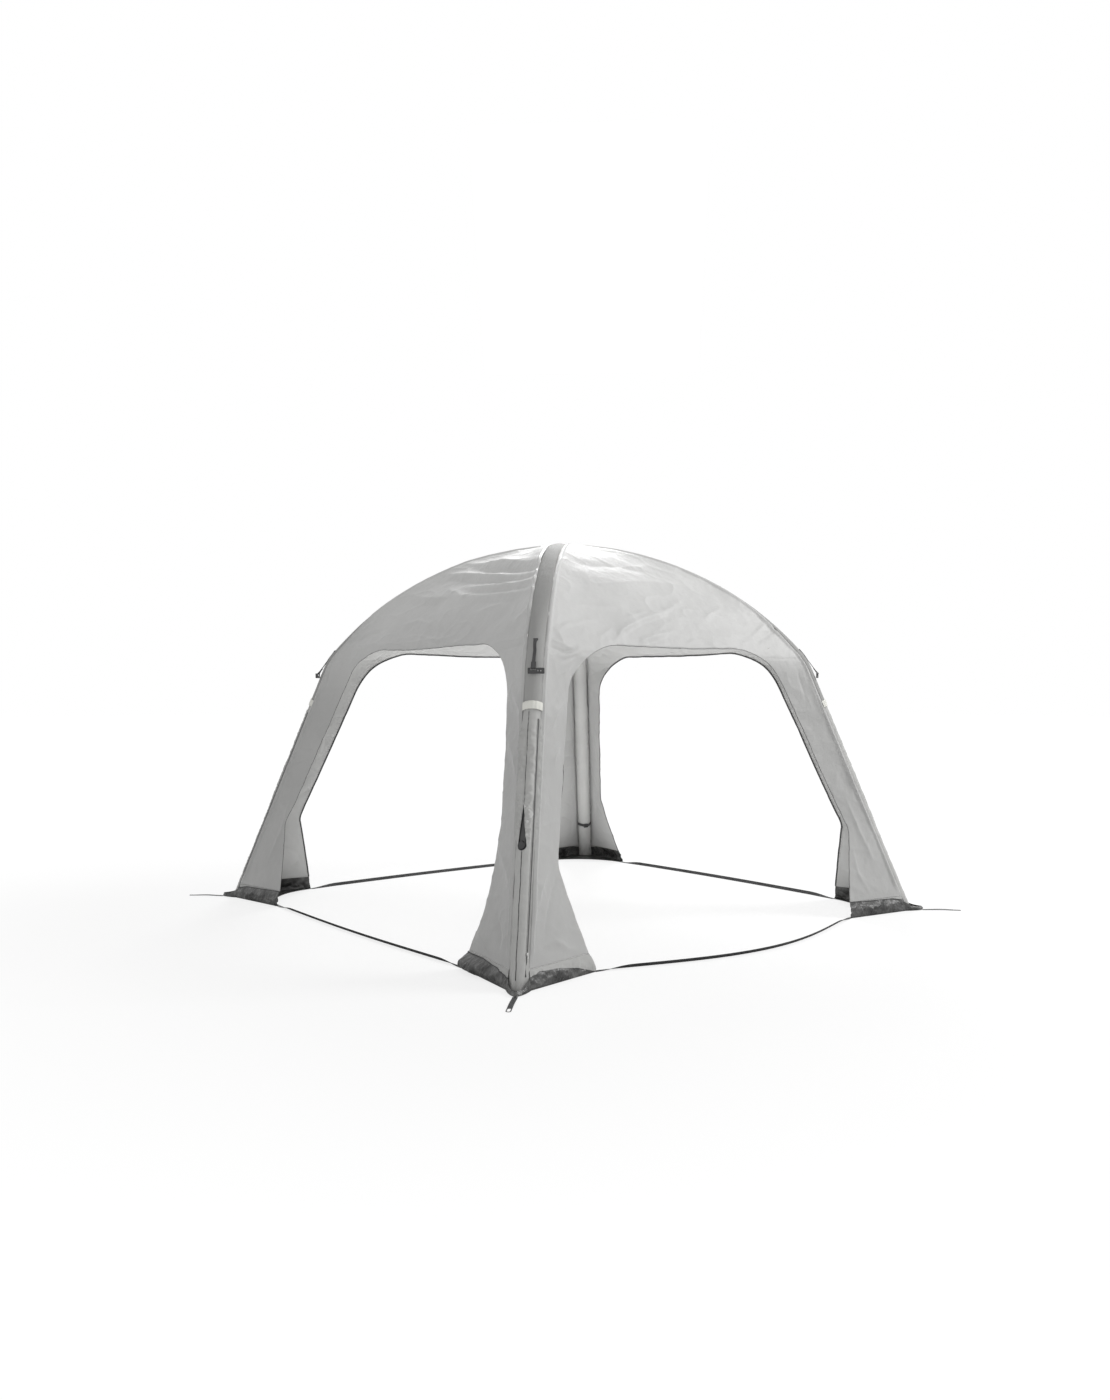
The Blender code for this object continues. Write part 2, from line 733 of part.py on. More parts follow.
def tab_path():
    """Line of the guy tab in the rib's plane: along the sleeve, then straight off the shoulder."""
    leave = (ROOF_TURN + LEG_TURN) / 2
    lift = SLEEVE_RADIUS + CLEAR + WEBBING / 2
    back = TAB_SEWN - SHOULDER_RADIUS * (leave - ROOF_TURN)
    first = ROOF_TURN - back / ROOF_RADIUS
    turns = [first, (first + ROOF_TURN) / 2, ROOF_TURN, (ROOF_TURN + leave) / 2, leave]
    points = [centre_at(turn) + normal_at(turn) * lift for turn in turns]
    free = leave - TAB_KICK
    way = Vector((math.cos(free), 0, -math.sin(free)))
    return points + [points[-1] + way * TAB_FREE], way


def tab_frame():
    """Bar centre, way of the free tab and its outward side, in the rib's plane."""
    points, way = tab_path()
    outward = Vector((-way.z, 0, way.x))
    radius = hem_radius()
    reach = math.sqrt(radius ** 2 - (WEBBING / 2) ** 2)
    return points[-1] + way * reach, way, outward


def hem_radius():
    return RUNNER_BAR / math.sqrt(2) + HEM_CLEAR + HEM_WALL


def tab_curve():
    """Side view of the tab with the hem that goes round the runner's bar."""
    points, way = tab_path()
    bar, _, outward = tab_frame()
    upper = []
    lower = []
    for index, point in enumerate(points):
        before = points[max(0, index - 1)]
        after = points[min(len(points) - 1, index + 1)]
        run = (after - before).normalized()
        side = Vector((-run.z, 0, run.x)) * (WEBBING / 2)
        upper.append(point + side)
        lower.append(point - side)
    radius = hem_radius()
    mouth = math.asin(WEBBING / 2 / radius)
    ring = []
    for step in range(1, HEM_STEPS):
        turn = math.pi - mouth - (math.tau - 2 * mouth) * step / HEM_STEPS
        ring.append(bar + way * (radius * math.cos(turn)) + outward * (radius * math.sin(turn)))
    hole = radius - HEM_WALL
    inner = [(hole * math.cos(turn), hole * math.sin(turn))
             for turn in (math.tau * step / HEM_STEPS for step in range(HEM_STEPS))]
    outline = [((point - bar).x, (point - bar).z) for point in upper + ring + lower[::-1]]
    return flat_curve("guy_tab", [outline, inner], TAB_WIDTH)


def runner_curve():
    """The runner hangs from the bar above its slot; two line holes lie to one side."""
    half = RUNNER_BAR / 2
    left = RUNNER_OFFSET - RUNNER_LENGTH / 2
    plate = rounded_box((left, half - RUNNER_HEIGHT), (left + RUNNER_LENGTH, half), RUNNER_CORNER)
    slot_half = RUNNER_SLOT_WIDTH / 2
    slot = [(-slot_half, -half - RUNNER_SLOT), (slot_half, -half - RUNNER_SLOT),
            (slot_half, -half), (-slot_half, -half)]
    outlines = [plate, slot]
    for index in range(RUNNER_HOLES):
        x = slot_half + RUNNER_HOLE_START + RUNNER_HOLE_PITCH * index
        y = half - RUNNER_HEIGHT / 2
        ring = stadium(0, 0, RUNNER_HOLE, SMALL_SIDES // 2)
        outlines.append([(x + px, y + py) for px, py in ring])
    return flat_curve("line_runner", outlines, RUNNER_THICKNESS)


def make_shoulders(parts, legs, materials):
    tab = tab_curve()
    runner = runner_curve()
    bar, _, _ = tab_frame()
    side_view = Matrix.Translation(bar) @ Matrix.Rotation(math.pi / 2, 4, "X")
    facing = Matrix(((0, 0, 1), (1, 0, 0), (0, 1, 0))).to_4x4()
    hang = Matrix.Translation(bar) @ facing
    band = band_mesh()
    for name, leg in legs.items():
        add("guy_tab_" + name, tab, parts, leg, side_view, materials["webbing"])
        add("line_runner_" + name, runner, parts, leg, hang, materials["plastic"])
        thicken(add("sleeve_band_" + name, band, parts, leg, None, materials["white"]), BAND_WALL)


def band_mesh():
    radius = SLEEVE_RADIUS + CLEAR + BAND_WALL
    mesh = tube_mesh("sleeve_band", [leg_point(BAND_HIGH), leg_point(BAND_LOW)], radius)
    trim = leg_point(BAND_LOW) + LEG_NORMAL * (EDGE_OUT + BAND_TRIM)
    return slice_mesh(mesh, [(trim, -LEG_NORMAL)])


def zip_outline():
    half = ZIP_TAPE_WIDTH / 2
    coil = ZIP_COIL_WIDTH / 2
    return [(-half, 0), (half, 0), (half, ZIP_TAPE), (coil, ZIP_TAPE), (coil, ZIP_COIL_HEIGHT),
            (-coil, ZIP_COIL_HEIGHT), (-coil, ZIP_TAPE), (-half, ZIP_TAPE)]


def slider_outline():
    """An arch over the coil, clear of it and of the tape."""
    half = SLIDER_WIDTH / 2
    low = ZIP_TAPE + CLEAR
    inner = ZIP_COIL_WIDTH / 2 + CLEAR
    roof = ZIP_COIL_HEIGHT + CLEAR
    return [(-half, low), (-inner, low), (-inner, roof), (inner, roof), (inner, low), (half, low),
            (half, SLIDER_EDGE_HEIGHT), (inner, SLIDER_HEIGHT), (-inner, SLIDER_HEIGHT),
            (-half, SLIDER_EDGE_HEIGHT)]


def make_zips(parts, cutters, legs, materials):
    height = (ZIP_LOW + ZIP_HIGH) / 2
    length = (ZIP_HIGH - ZIP_LOW) / math.cos(LEG_LEAN)
    tape = flat_curve("sleeve_zip", [zip_outline()], length)
    stand = Matrix.Rotation(math.pi / 2, 4, "X")
    lift = Matrix.Translation((0, 0, SLEEVE_FACET + CLEAR))
    place = leg_place(height, ZIP_TURN) @ lift @ stand
    start = leg_place(ZIP_LOW, ZIP_TURN) @ lift
    start = start @ Matrix.Translation((0, SLIDER_END_GAP + SLIDER_LENGTH / 2, 0))
    body = mesh_of_curve(flat_curve("zip_slider", [slider_outline()], SLIDER_LENGTH))
    body.transform(stand)
    pull_low = SLIDER_HEIGHT - PULL_THICKNESS
    pull = box_mesh("pull", (-PULL_WIDTH / 2, -PULL_LENGTH, pull_low),
                    (PULL_WIDTH / 2, -PULL_OVERLAP, SLIDER_HEIGHT + PULL_THICKNESS / 2))
    for name, leg in legs.items():
        add("sleeve_zip_" + name, tape, parts, leg, place, materials["zip"])
        slider = add("zip_slider_" + name, body, parts, leg, start, materials["metal"])
        cut(slider, helper("pull_" + name, pull, cutters, leg, start), "UNION")


def slit_mesh():
    """A pointed slit, wide round the valve, cut through the sleeve along the leg."""
    tangent = math.acos(SLIT_RADIUS / SLIT_LENGTH)
    outline = [(0, SLIT_LENGTH)]
    first = math.pi / 2 + tangent
    for step in range(SLIT_STEPS + 1):
        turn = first + (math.tau - 2 * tangent) * step / SLIT_STEPS
        outline.append((SLIT_RADIUS * math.cos(turn), SLIT_RADIUS * math.sin(turn)))
    return mesh_of_curve(flat_curve("slit", [outline], SLIT_DEPTH))


def make_valve(parts, cutters, leg, beam, sleeve, materials):
    axis = leg_place(VALVE_HEIGHT, VALVE_TURN)
    seat = axis @ Matrix.Translation((0, 0, BEAM_FACET + CLEAR))
    slit = axis @ Matrix.Translation((0, 0, SLEEVE_FACET))
    cut(sleeve, helper("slit", slit_mesh(), cutters, leg, slit))
    hole = rod_mesh("hole", VALVE_NECK_RADIUS + CLEAR, SLIT_DEPTH)
    cut(beam, helper("valve_hole", hole, cutters, leg, seat))
    body = turned("valve_body", body_profile(), parts, leg, seat, materials["plastic"])
    for index, (mesh, turn) in enumerate(valve_arms() + valve_lugs()):
        place = seat @ Matrix.Rotation(turn, 4, "Z")
        cut(body, helper(f"valve_piece_{index}", mesh, cutters, leg, place), "UNION")
    guide = rod_mesh("guide", PLUNGER_STEM_RADIUS + CLEAR, SLIT_DEPTH, sides=SMALL_SIDES)
    cut(body, helper("guide_hole", guide, cutters, leg, seat))
    turned("valve_plunger", plunger_profile(), parts, leg, seat, materials["white"], closed=False)
    make_cap(parts, cutters, leg, seat, materials)


def valve_arms():
    """The arms across the seat and the hub that guides the plunger, each with its turn."""
    reach = (VALVE_SEAT_RADIUS + VALVE_NECK_RADIUS) / 2
    half = VALVE_ARM_WIDTH / 2
    arm = box_mesh("arm", (0, -half, 0), (reach, half, VALVE_ARM_THICKNESS))
    hub = rod_mesh("hub", VALVE_GUIDE_RADIUS, VALVE_ARM_THICKNESS,
                   centre=(0, 0, VALVE_ARM_THICKNESS / 2))
    return [(arm, math.tau * index / VALVE_ARMS) for index in range(VALVE_ARMS)] + [(hub, 0)]


def valve_lugs():
    """Two lugs on a common foot, with the pin of the cap between them."""
    inner = LUG_GAP / 2
    outer = inner + LUG_WALL
    near = CAP_RADIUS + PIN_CLEAR
    far = PIN_REACH + LUG_MARGIN
    top = PIN_RISE + LUG_MARGIN
    meshes = [box_mesh("lug_left", (-outer, near, 0), (-inner, far, top)),
              box_mesh("lug_right", (inner, near, 0), (outer, far, top)),
              box_mesh("lug_foot", (-outer, VALVE_BOSS_RADIUS - LUG_MARGIN, 0),
                       (outer, far, VALVE_FLANGE)),
              rod_mesh("pin", PIN_RADIUS, LUG_GAP + LUG_WALL, "X", (0, PIN_REACH, PIN_RISE),
                       SMALL_SIDES)]
    return [(mesh, 0) for mesh in meshes]


def body_profile():
    """Closed section of the body, down its outer side and back up its bore."""
    return [(VALVE_BORE_RADIUS, VALVE_BOSS_HEIGHT), (VALVE_BOSS_RADIUS, VALVE_BOSS_HEIGHT),
            (VALVE_BOSS_RADIUS, VALVE_FLANGE), (VALVE_FLANGE_RADIUS, VALVE_FLANGE),
            (VALVE_FLANGE_RADIUS, 0), (VALVE_NECK_RADIUS, 0),
            (VALVE_NECK_RADIUS, -VALVE_NECK_DEPTH), (VALVE_SEAT_RADIUS, -VALVE_NECK_DEPTH),
            (VALVE_SEAT_RADIUS, VALVE_ARM_THICKNESS), (VALVE_BORE_RADIUS, VALVE_ARM_THICKNESS)]


def plunger_profile():
    top = PLUNGER_RISE + PLUNGER_BUTTON
    disc = -VALVE_NECK_DEPTH - CLEAR
    return [(0, top), (PLUNGER_BUTTON_RADIUS, top), (PLUNGER_BUTTON_RADIUS, PLUNGER_RISE),
            (PLUNGER_STEM_RADIUS, PLUNGER_RISE), (PLUNGER_STEM_RADIUS, disc),
            (PLUNGER_DISC_RADIUS, disc), (PLUNGER_DISC_RADIUS, disc - PLUNGER_DISC),
            (0, disc - PLUNGER_DISC)]


def make_cap(parts, cutters, leg, seat, materials):
    """The cap's origin is on its pin."""
    low = VALVE_BOSS_HEIGHT - CAP_SKIRT
    under = VALVE_BOSS_HEIGHT + CLEAR
    bore = VALVE_BOSS_RADIUS + PIN_CLEAR
    profile = [(0, under + CAP_TOP), (CAP_RADIUS, under + CAP_TOP), (CAP_RADIUS, low),
               (bore, low), (bore, under), (0, under)]
    place = seat @ Matrix.Translation((0, PIN_REACH, PIN_RISE))
    shifted = [(radius, height - PIN_RISE) for radius, height in profile]
    cap = turned("valve_cap", shifted, parts, leg, place, materials["plastic"], closed=False)
    cap.data.transform(Matrix.Translation((0, -PIN_REACH, 0)))
    screw = cap.modifiers["turn"]
    centre = bpy.data.objects.new("cap_axis", None)
    cutters.objects.link(centre)
    centre.parent = leg
    centre.matrix_local = place @ Matrix.Translation((0, -PIN_REACH, 0))
    screw.object = centre
    eye = PIN_RADIUS + PIN_CLEAR
    half = LUG_GAP / 2 - CLEAR
    arm = box_mesh("cap_arm", (-half, -(PIN_REACH - bore), -LUG_MARGIN),
                   (half, LUG_MARGIN, VALVE_BOSS_HEIGHT - PIN_RISE + CAP_TOP))
    cut(cap, helper("cap_arm", arm, cutters, leg, place), "UNION")
    hole = rod_mesh("cap_eye", eye, LUG_GAP * 2, "X", sides=SMALL_SIDES)
    cut(cap, helper("cap_eye", hole, cutters, leg, place))


def make_materials():
    """Colours and finishes of the object's pieces."""
    looks = {"bladder": ((0.62, 0.62, 0.60), 0.35), "band": ((0.36, 0.36, 0.35), 0.85),
             "roof": ((0.62, 0.62, 0.60), 0.85), "leg": ((0.46, 0.46, 0.45), 0.85),
             "pvc": ((0.09, 0.09, 0.09), 0.35), "webbing": ((0.03, 0.03, 0.03), 0.8),
             "plastic": ((0.03, 0.03, 0.03), 0.4), "white": ((0.72, 0.72, 0.66), 0.6),
             "zip": ((0.05, 0.05, 0.05), 0.6)}
    materials = {name: make_material(name, *look) for name, look in looks.items()}
    materials["metal"] = make_material("metal", (0.5, 0.5, 0.5), 0.35, 1.0)
    return materials


def main():
    parts, cutters = start_scene()
    materials = make_materials()
    legs = {name: add_frame("leg_" + name, azimuth, parts)
            for name, azimuth in LEG_AZIMUTHS.items()}
    sides = {name: add_frame("side_" + name, azimuth, parts)
             for name, azimuth in SIDE_AZIMUTHS.items()}
    beams = make_frame(parts, legs, materials)
    sleeves = make_sleeves(parts, legs, materials)
    make_canopy(parts, legs, sides, materials)
    make_feet(parts, legs, materials)
    make_straps(parts, sides, materials)
    make_shoulders(parts, legs, materials)
    make_zips(parts, cutters, legs, materials)
    make_valve(parts, cutters, legs["front_left"], beams["front_left"], sleeves["front_left"],
               materials)
    for item in parts.objects:
        if item.type == "MESH":
            shade(item.data)


main()
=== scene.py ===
"""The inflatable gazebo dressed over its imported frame, with floor, light and camera.

Metres, +Z up, origin on the ground under the crown. A leg's own frame has +X outward along the
diagonal and +Y to the right of someone who faces the leg from outside. A side's own frame has +X
outward through the middle of the doorway.
"""
import json
import math
from contextlib import contextmanager

import bmesh
import bpy
import numpy as np
from mathutils import Matrix, Vector, noise
from mathutils.bvhtree import BVHTree

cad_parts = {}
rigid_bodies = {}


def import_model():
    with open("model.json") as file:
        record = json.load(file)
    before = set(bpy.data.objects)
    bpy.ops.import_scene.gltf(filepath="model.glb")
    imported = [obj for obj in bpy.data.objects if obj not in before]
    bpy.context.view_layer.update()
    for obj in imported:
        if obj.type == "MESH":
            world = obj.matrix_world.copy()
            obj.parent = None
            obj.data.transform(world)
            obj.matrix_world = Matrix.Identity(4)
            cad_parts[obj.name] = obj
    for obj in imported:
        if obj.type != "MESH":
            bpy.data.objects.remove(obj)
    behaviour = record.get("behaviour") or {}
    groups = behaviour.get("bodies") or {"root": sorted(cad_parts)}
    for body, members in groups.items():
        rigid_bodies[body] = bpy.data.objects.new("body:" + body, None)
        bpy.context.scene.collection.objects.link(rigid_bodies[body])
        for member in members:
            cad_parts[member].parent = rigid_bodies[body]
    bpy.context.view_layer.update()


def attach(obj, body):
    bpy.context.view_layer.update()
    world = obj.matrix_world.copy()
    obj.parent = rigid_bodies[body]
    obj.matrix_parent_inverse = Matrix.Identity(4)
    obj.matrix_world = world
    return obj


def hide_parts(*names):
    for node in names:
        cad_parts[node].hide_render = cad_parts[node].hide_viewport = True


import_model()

BODY = "gazebo"

# The photograph's camera
VIEW_DISTANCE = 7.2356
VIEW_YAW = math.radians(50.764)
VIEW_PITCH = math.radians(-8.588)
VIEW_ROLL = math.radians(0.055)
VIEW_HEIGHT = 1.3780
VIEW_ASIDE = -0.0686
FOCAL_PIXELS = 1105.09
PRINCIPAL = (551.60, 860.19)
IMAGE = (1110, 1400)
SENSOR = 36.0

# Sizes of the frame, the same as the solids have
HEIGHT = 2.30
SPAN = 3.65
SLEEVE_RADIUS = 0.0518
SHOULDER_REACH = 1.510
SHOULDER_HEIGHT = 1.560
SHOULDER_RADIUS = 0.35
LEG_LEAN = math.radians(24.04)
SPLIT_HEIGHT = 1.59
EAVE_HEIGHT = 1.66
DOORWAY_CORNER = 0.29
WING_AT_SHOULDER = 0.233
WING_AT_KINK = 0.194
WING_AT_GROUND = 0.495
KINK_HEIGHT = 0.532
WING_TURN_TOP = math.radians(16.6)
WING_TURN_GROUND = math.radians(9.2)
WING_TURN_HEIGHT = 0.8
ROOF_SAG = 0.032
FLAP_TOP = 0.095
FLAP_WALL = 0.002
BASE_THICKNESS = 0.003
BASE_MARGIN = 0.0015
BASE_HOLLOW = 0.13
NOSE_REACH = 2.333
NOSE_HALF_WIDTH = 0.058
NOSE_POINT = 1.4
NOSE_HEIGHT = 0.022
NOSE_SIDE_HEIGHT = 0.055
NOSE_LEAN = 0.006
WEBBING = 0.002
STRAP_WIDTH = 0.025
STRAP_BOW = {"front": 0.24, "right": 0.03, "back": 0.03, "left": 0.03}
STRAP_ARC = 1.15
STRAP_ROLL = math.radians(52)
PEG_EYE_LENGTH = 0.032
PEG_EYE_HALF_WIDTH = 0.008
TAB_SEWN = 0.075
TAB_FREE = 0.105
TAB_KICK = math.radians(5)
TAB_WIDTH = 0.025
HEM_WALL = 0.0016
HEM_CLEAR = 0.0005
RUNNER_BAR = 0.004
BAND_LOW = 1.28
BAND_HIGH = 1.32
ZIP_LOW = 0.14
ZIP_HIGH = 1.24
ZIP_TURN = math.radians(45)
VALVE_HEIGHT = 0.63
VALVE_TURN = math.radians(-15)
SLIT_RADIUS = 0.0215
SLIT_LENGTH = 0.21
SLIT_OUT = 0.0022
STRAPPED_LEG = "back_right"
LEG_STRAP_HEIGHT = 0.30
FACET_TURN = math.radians(30)
CLEAR = 0.0003
DIAGONAL = 45

LEG_AZIMUTHS = {"front_left": 225, "front_right": 315, "back_right": 45, "back_left": 135}
SIDE_AZIMUTHS = {"front": 270, "right": 0, "back": 90, "left": 180}
LEG_SIDES = {"front_left": ("front", "left"), "front_right": ("right", "front"),
             "back_right": ("back", "right"), "back_left": ("left", "back")}

CROWN_HEIGHT = HEIGHT - SLEEVE_RADIUS
DROP = CROWN_HEIGHT - SHOULDER_HEIGHT
ROOF_RADIUS = (SHOULDER_REACH ** 2 + DROP ** 2) / (2 * DROP)
ROOF_CENTRE = np.array((0.0, CROWN_HEIGHT - ROOF_RADIUS))
LEG_TURN = math.pi / 2 - LEG_LEAN
LEG_DOWN = np.array((math.sin(LEG_LEAN), -math.cos(LEG_LEAN)))
LEG_NORMAL = np.array((math.cos(LEG_LEAN), math.sin(LEG_LEAN)))
EDGE_TURN = 2 * FACET_TURN
STRAP_HALF = STRAP_WIDTH / 2
PEG_REACH = (SPAN / 2 - STRAP_HALF) * math.sqrt(2)
ROOT = math.sqrt(2)

# Detail of the sewn fabric
CELL = 0.010
WALLS = {"canopy": 0.0011, "sleeve": 0.0009, "corner": 0.0008, "band": 0.0011, "flap": 0.0011,
         "base": 0.0012}
SLIT_CORD = 0.0017
SEAM_CORD = 0.0019
INNER_CORD = 0.0024
PIPING = {1: 0.0016, -1: 0.0022}
DOOR_TAPE = (0.010, 0.0011)
ZIP_TAPE = (0.016, 0.0008)
BUCKLE = (0.034, 0.036, 0.006)
COVER = 0.0012
COVER_RADIUS = SLEEVE_RADIUS + COVER
COVER_END = 1.30
RIDGE_OUT = 0.010
RIDGE_AT = 0.017
RIDGE_WIDTH = 0.010
SEAM_WIDTH = 0.005
SLEEVE_LOW = BASE_THICKNESS + 0.0015
VALVE_SEAM = "front_left"
FLAP_OUT = FLAP_WALL + BASE_MARGIN
FLAP_FOOT = BASE_THICKNESS + CLEAR
WHITE = (1, 1, 1, 1)
SEED = 7


def smooth(value, low, high):
    share = np.clip((value - low) / (high - low), 0, 1)
    return share * share * (3 - 2 * share)


def unit(ways):
    """Directions at a length of one."""
    return ways / np.linalg.norm(ways, axis=-1)[..., None]


def find_shoulder_centre():
    corner = np.array((SHOULDER_REACH, SHOULDER_HEIGHT))
    offset = corner - LEG_NORMAL * SHOULDER_RADIUS - ROOF_CENTRE
    along = offset @ LEG_DOWN
    beyond = offset @ offset - (ROOF_RADIUS - SHOULDER_RADIUS) ** 2
    return ROOF_CENTRE + offset + LEG_DOWN * (-along - math.sqrt(along * along - beyond))


SHOULDER_CENTRE = find_shoulder_centre()
ROOF_TURN = math.atan2(SHOULDER_CENTRE[0], SHOULDER_CENTRE[1] - ROOF_CENTRE[1])
ROOF_LENGTH = ROOF_TURN * ROOF_RADIUS
BEND_LENGTH = (LEG_TURN - ROOF_TURN) * SHOULDER_RADIUS


def rib_at(turn):
    """Centreline (x, z) and normal (x, z) of the rib where its normal leans by turn."""
    normal = np.stack([np.sin(turn), np.cos(turn)], -1)
    roof = ROOF_CENTRE + normal * ROOF_RADIUS
    bend = SHOULDER_CENTRE + normal * SHOULDER_RADIUS
    return np.where((np.asarray(turn) <= ROOF_TURN)[..., None], roof, bend), normal


LEG_TOP = rib_at(np.array(LEG_TURN))[0]


def leg_axis(height):
    """Centreline of the straight leg at a height."""
    return LEG_TOP + LEG_DOWN * (np.asarray(LEG_TOP[1] - height) / math.cos(LEG_LEAN))[..., None]


def rib_along(length):
    """Centreline and normal at a length along the rib from the crown."""
    length = np.asarray(length, float)
    turn = np.where(length < ROOF_LENGTH, length / ROOF_RADIUS,
                    ROOF_TURN + (length - ROOF_LENGTH) / SHOULDER_RADIUS)
    centre, normal = rib_at(np.minimum(turn, LEG_TURN))
    past = np.maximum(0, length - ROOF_LENGTH - BEND_LENGTH)
    return centre + past[..., None] * LEG_DOWN, normal


def rib_by_height(height):
    height = np.asarray(height, float)
    bend = np.arccos(np.clip((height - SHOULDER_CENTRE[1]) / SHOULDER_RADIUS, -1, 1))
    roof = np.arccos(np.clip((height - ROOF_CENTRE[1]) / ROOF_RADIUS, -1, 1))
    bend_top = rib_at(np.array(ROOF_TURN))[0][1]
    turn = np.where(height <= bend_top, np.minimum(bend, LEG_TURN), roof)
    centre, normal = rib_at(turn)
    return np.where((height <= LEG_TOP[1])[..., None], leg_axis(height), centre), normal


def length_at(height):
    """Length along the rib from the crown to a height of the centreline."""
    grid = np.linspace(0, ROOF_LENGTH + BEND_LENGTH + 2.0, 4000)
    return np.interp(-np.asarray(height, float), -rib_along(grid)[0][:, 1], grid)


def edge_at(height):
    """Where the fabric leaves the cover over the sleeve, in the leg's frame."""
    centre, normal = rib_by_height(height)
    for _ in range(8):
        centre, normal = rib_by_height(height - normal[..., 1] * COVER_RADIUS * math.cos(EDGE_TURN))
    out = centre + normal * (COVER_RADIUS * math.cos(EDGE_TURN))
    side = np.full(out.shape[:-1], COVER_RADIUS * math.sin(EDGE_TURN))
    return np.stack([out[..., 0], side, out[..., 1]], -1), normal


def half_width(height):
    edge, _ = edge_at(height)
    return (edge[..., 0] - edge[..., 1]) / ROOT


def straight_width(height):
    share = (height - KINK_HEIGHT) / (SPLIT_HEIGHT - KINK_HEIGHT)
    return WING_AT_KINK + (WING_AT_SHOULDER - WING_AT_KINK) * share


def wing_width(height, soft=0.0, radius=DOORWAY_CORNER):
    """Width of a leg panel, from the sleeve to the doorway, its bend softened over a height."""
    height = np.asarray(height, float)
    low = WING_AT_GROUND + (WING_AT_KINK - WING_AT_GROUND) * height / KINK_HEIGHT
    if soft:
        slope = (WING_AT_GROUND - WING_AT_KINK) / KINK_HEIGHT
        past = np.clip((KINK_HEIGHT + soft - height) / (2 * soft), 0, 1)
        lift = slope * soft * past ** 2
        near = np.abs(height - KINK_HEIGHT) < soft
        return np.where(near, straight_width(height) + lift, wing_width(height, 0.0, radius))
    rise = np.clip(height - (EAVE_HEIGHT - radius), 0, radius)
    corner = radius - np.sqrt(radius ** 2 - rise ** 2)
    return np.where(height < KINK_HEIGHT, low, straight_width(height) + corner)


def skin(height, across):
    """Points of the fabric's outer face to the right of the leg, in the leg's frame."""
    height = np.asarray(height, float)
    edge, normal = edge_at(height)
    as_leg = smooth(EAVE_HEIGHT - height, 0, DOORWAY_CORNER)
    turn = WING_TURN_GROUND + (WING_TURN_TOP - WING_TURN_GROUND) * np.clip(
        height / WING_TURN_HEIGHT, 0, 1)
    width = (edge[..., 0] - edge[..., 1]) / ROOT
    sag = ROOF_SAG * width * (1 - (1 - across / width) ** 2)
    steep = np.arctan2(normal[..., 0], normal[..., 1] * ROOT)
    inward = as_leg * across * np.tan(turn) + (1 - as_leg) * sag * np.sin(steep)
    point = edge.copy()
    point[..., 0] += (-across - inward) / ROOT
    point[..., 1] += (across - inward) / ROOT
    point[..., 2] -= (1 - as_leg) * sag * np.cos(steep)
    return point


def turn_z(points, degrees):
    angle = math.radians(degrees)
    points = np.asarray(points, float)
    x = points[..., 0] * math.cos(angle) - points[..., 1] * math.sin(angle)
    y = points[..., 0] * math.sin(angle) + points[..., 1] * math.cos(angle)
    return np.stack([x, y, points[..., 2]], -1)


def mirrored(points):
    return np.asarray(points) * np.array((1, -1, 1))


def waves(points, scale, octaves=3, seed=0):
    """Smooth noise at points, about -1 to 1."""
    shift = Vector((seed * 13.7, seed * 7.1, seed * 3.3))
    return np.array([noise.fractal(Vector(point) * scale + shift, 1.0, 2.0, octaves)
                     for point in points.reshape(-1, 3)]).reshape(points.shape[:-1])


def ridges(points, scale, seed=0, stretch=1):
    """Noise with sharp ridges, 0 to 1, for creased sheet."""
    shift = Vector((seed * 5.3, seed * 11.9, seed * 2.7))
    points = points * np.array((1, 1, stretch))
    return np.array([max(0.0, 1 - abs(noise.noise(Vector(point) * scale + shift)) * 2)
                     for point in points.reshape(-1, 3)]).reshape(points.shape[:-1])


def segment_distance(points, start, end):
    """Distance of points from a segment, and how far along it they lie, 0 to 1."""
    way = end - start
    share = np.clip(((points - start) @ way) / (way @ way), 0, 1)
    return np.linalg.norm(points - start - share[:, None] * way, axis=1), share


def run_along(path):
    """Length from the start of a path to each of its points."""
    return np.concatenate([[0], np.cumsum(np.linalg.norm(np.diff(path, axis=0), axis=1))])


def outward_of(line):
    """Level directions out of a line of the foot's edge."""
    way = unit(np.gradient(line, axis=0))
    out = np.stack([-way[:, 1], way[:, 0], np.zeros(len(way))], -1)
    return -out if out[len(out) // 2, 0] < 0 else out


# Objects and meshes

LOOKS = {}


def place_object(name, data):
    item = bpy.data.objects.new(name, data)
    bpy.context.scene.collection.objects.link(item)
    return item


def add(name, mesh, looks, leg=None, solids=()):
    """A piece of the gazebo in its looks, turned to its leg, in place of the solids."""
    piece = place_object(name, mesh)
    for look in looks.split():
        mesh.materials.append(LOOKS[look].material)
    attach(piece, BODY)
    if leg:
        piece.rotation_euler.z = math.radians(LEG_AZIMUTHS[leg])
    if solids:
        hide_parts(*solids)
    return piece


def grid(rows, columns, start=0, closed=False):
    """Quads of a grid whose points are numbered row by row."""
    index = start + np.arange(rows * columns).reshape(rows, columns)
    right = np.roll(index, -1, 1) if closed else index[:, 1:]
    left = index if closed else index[:, :-1]
    return np.stack([left[:-1], right[:-1], right[1:], left[1:]], -1).reshape(-1, 4)


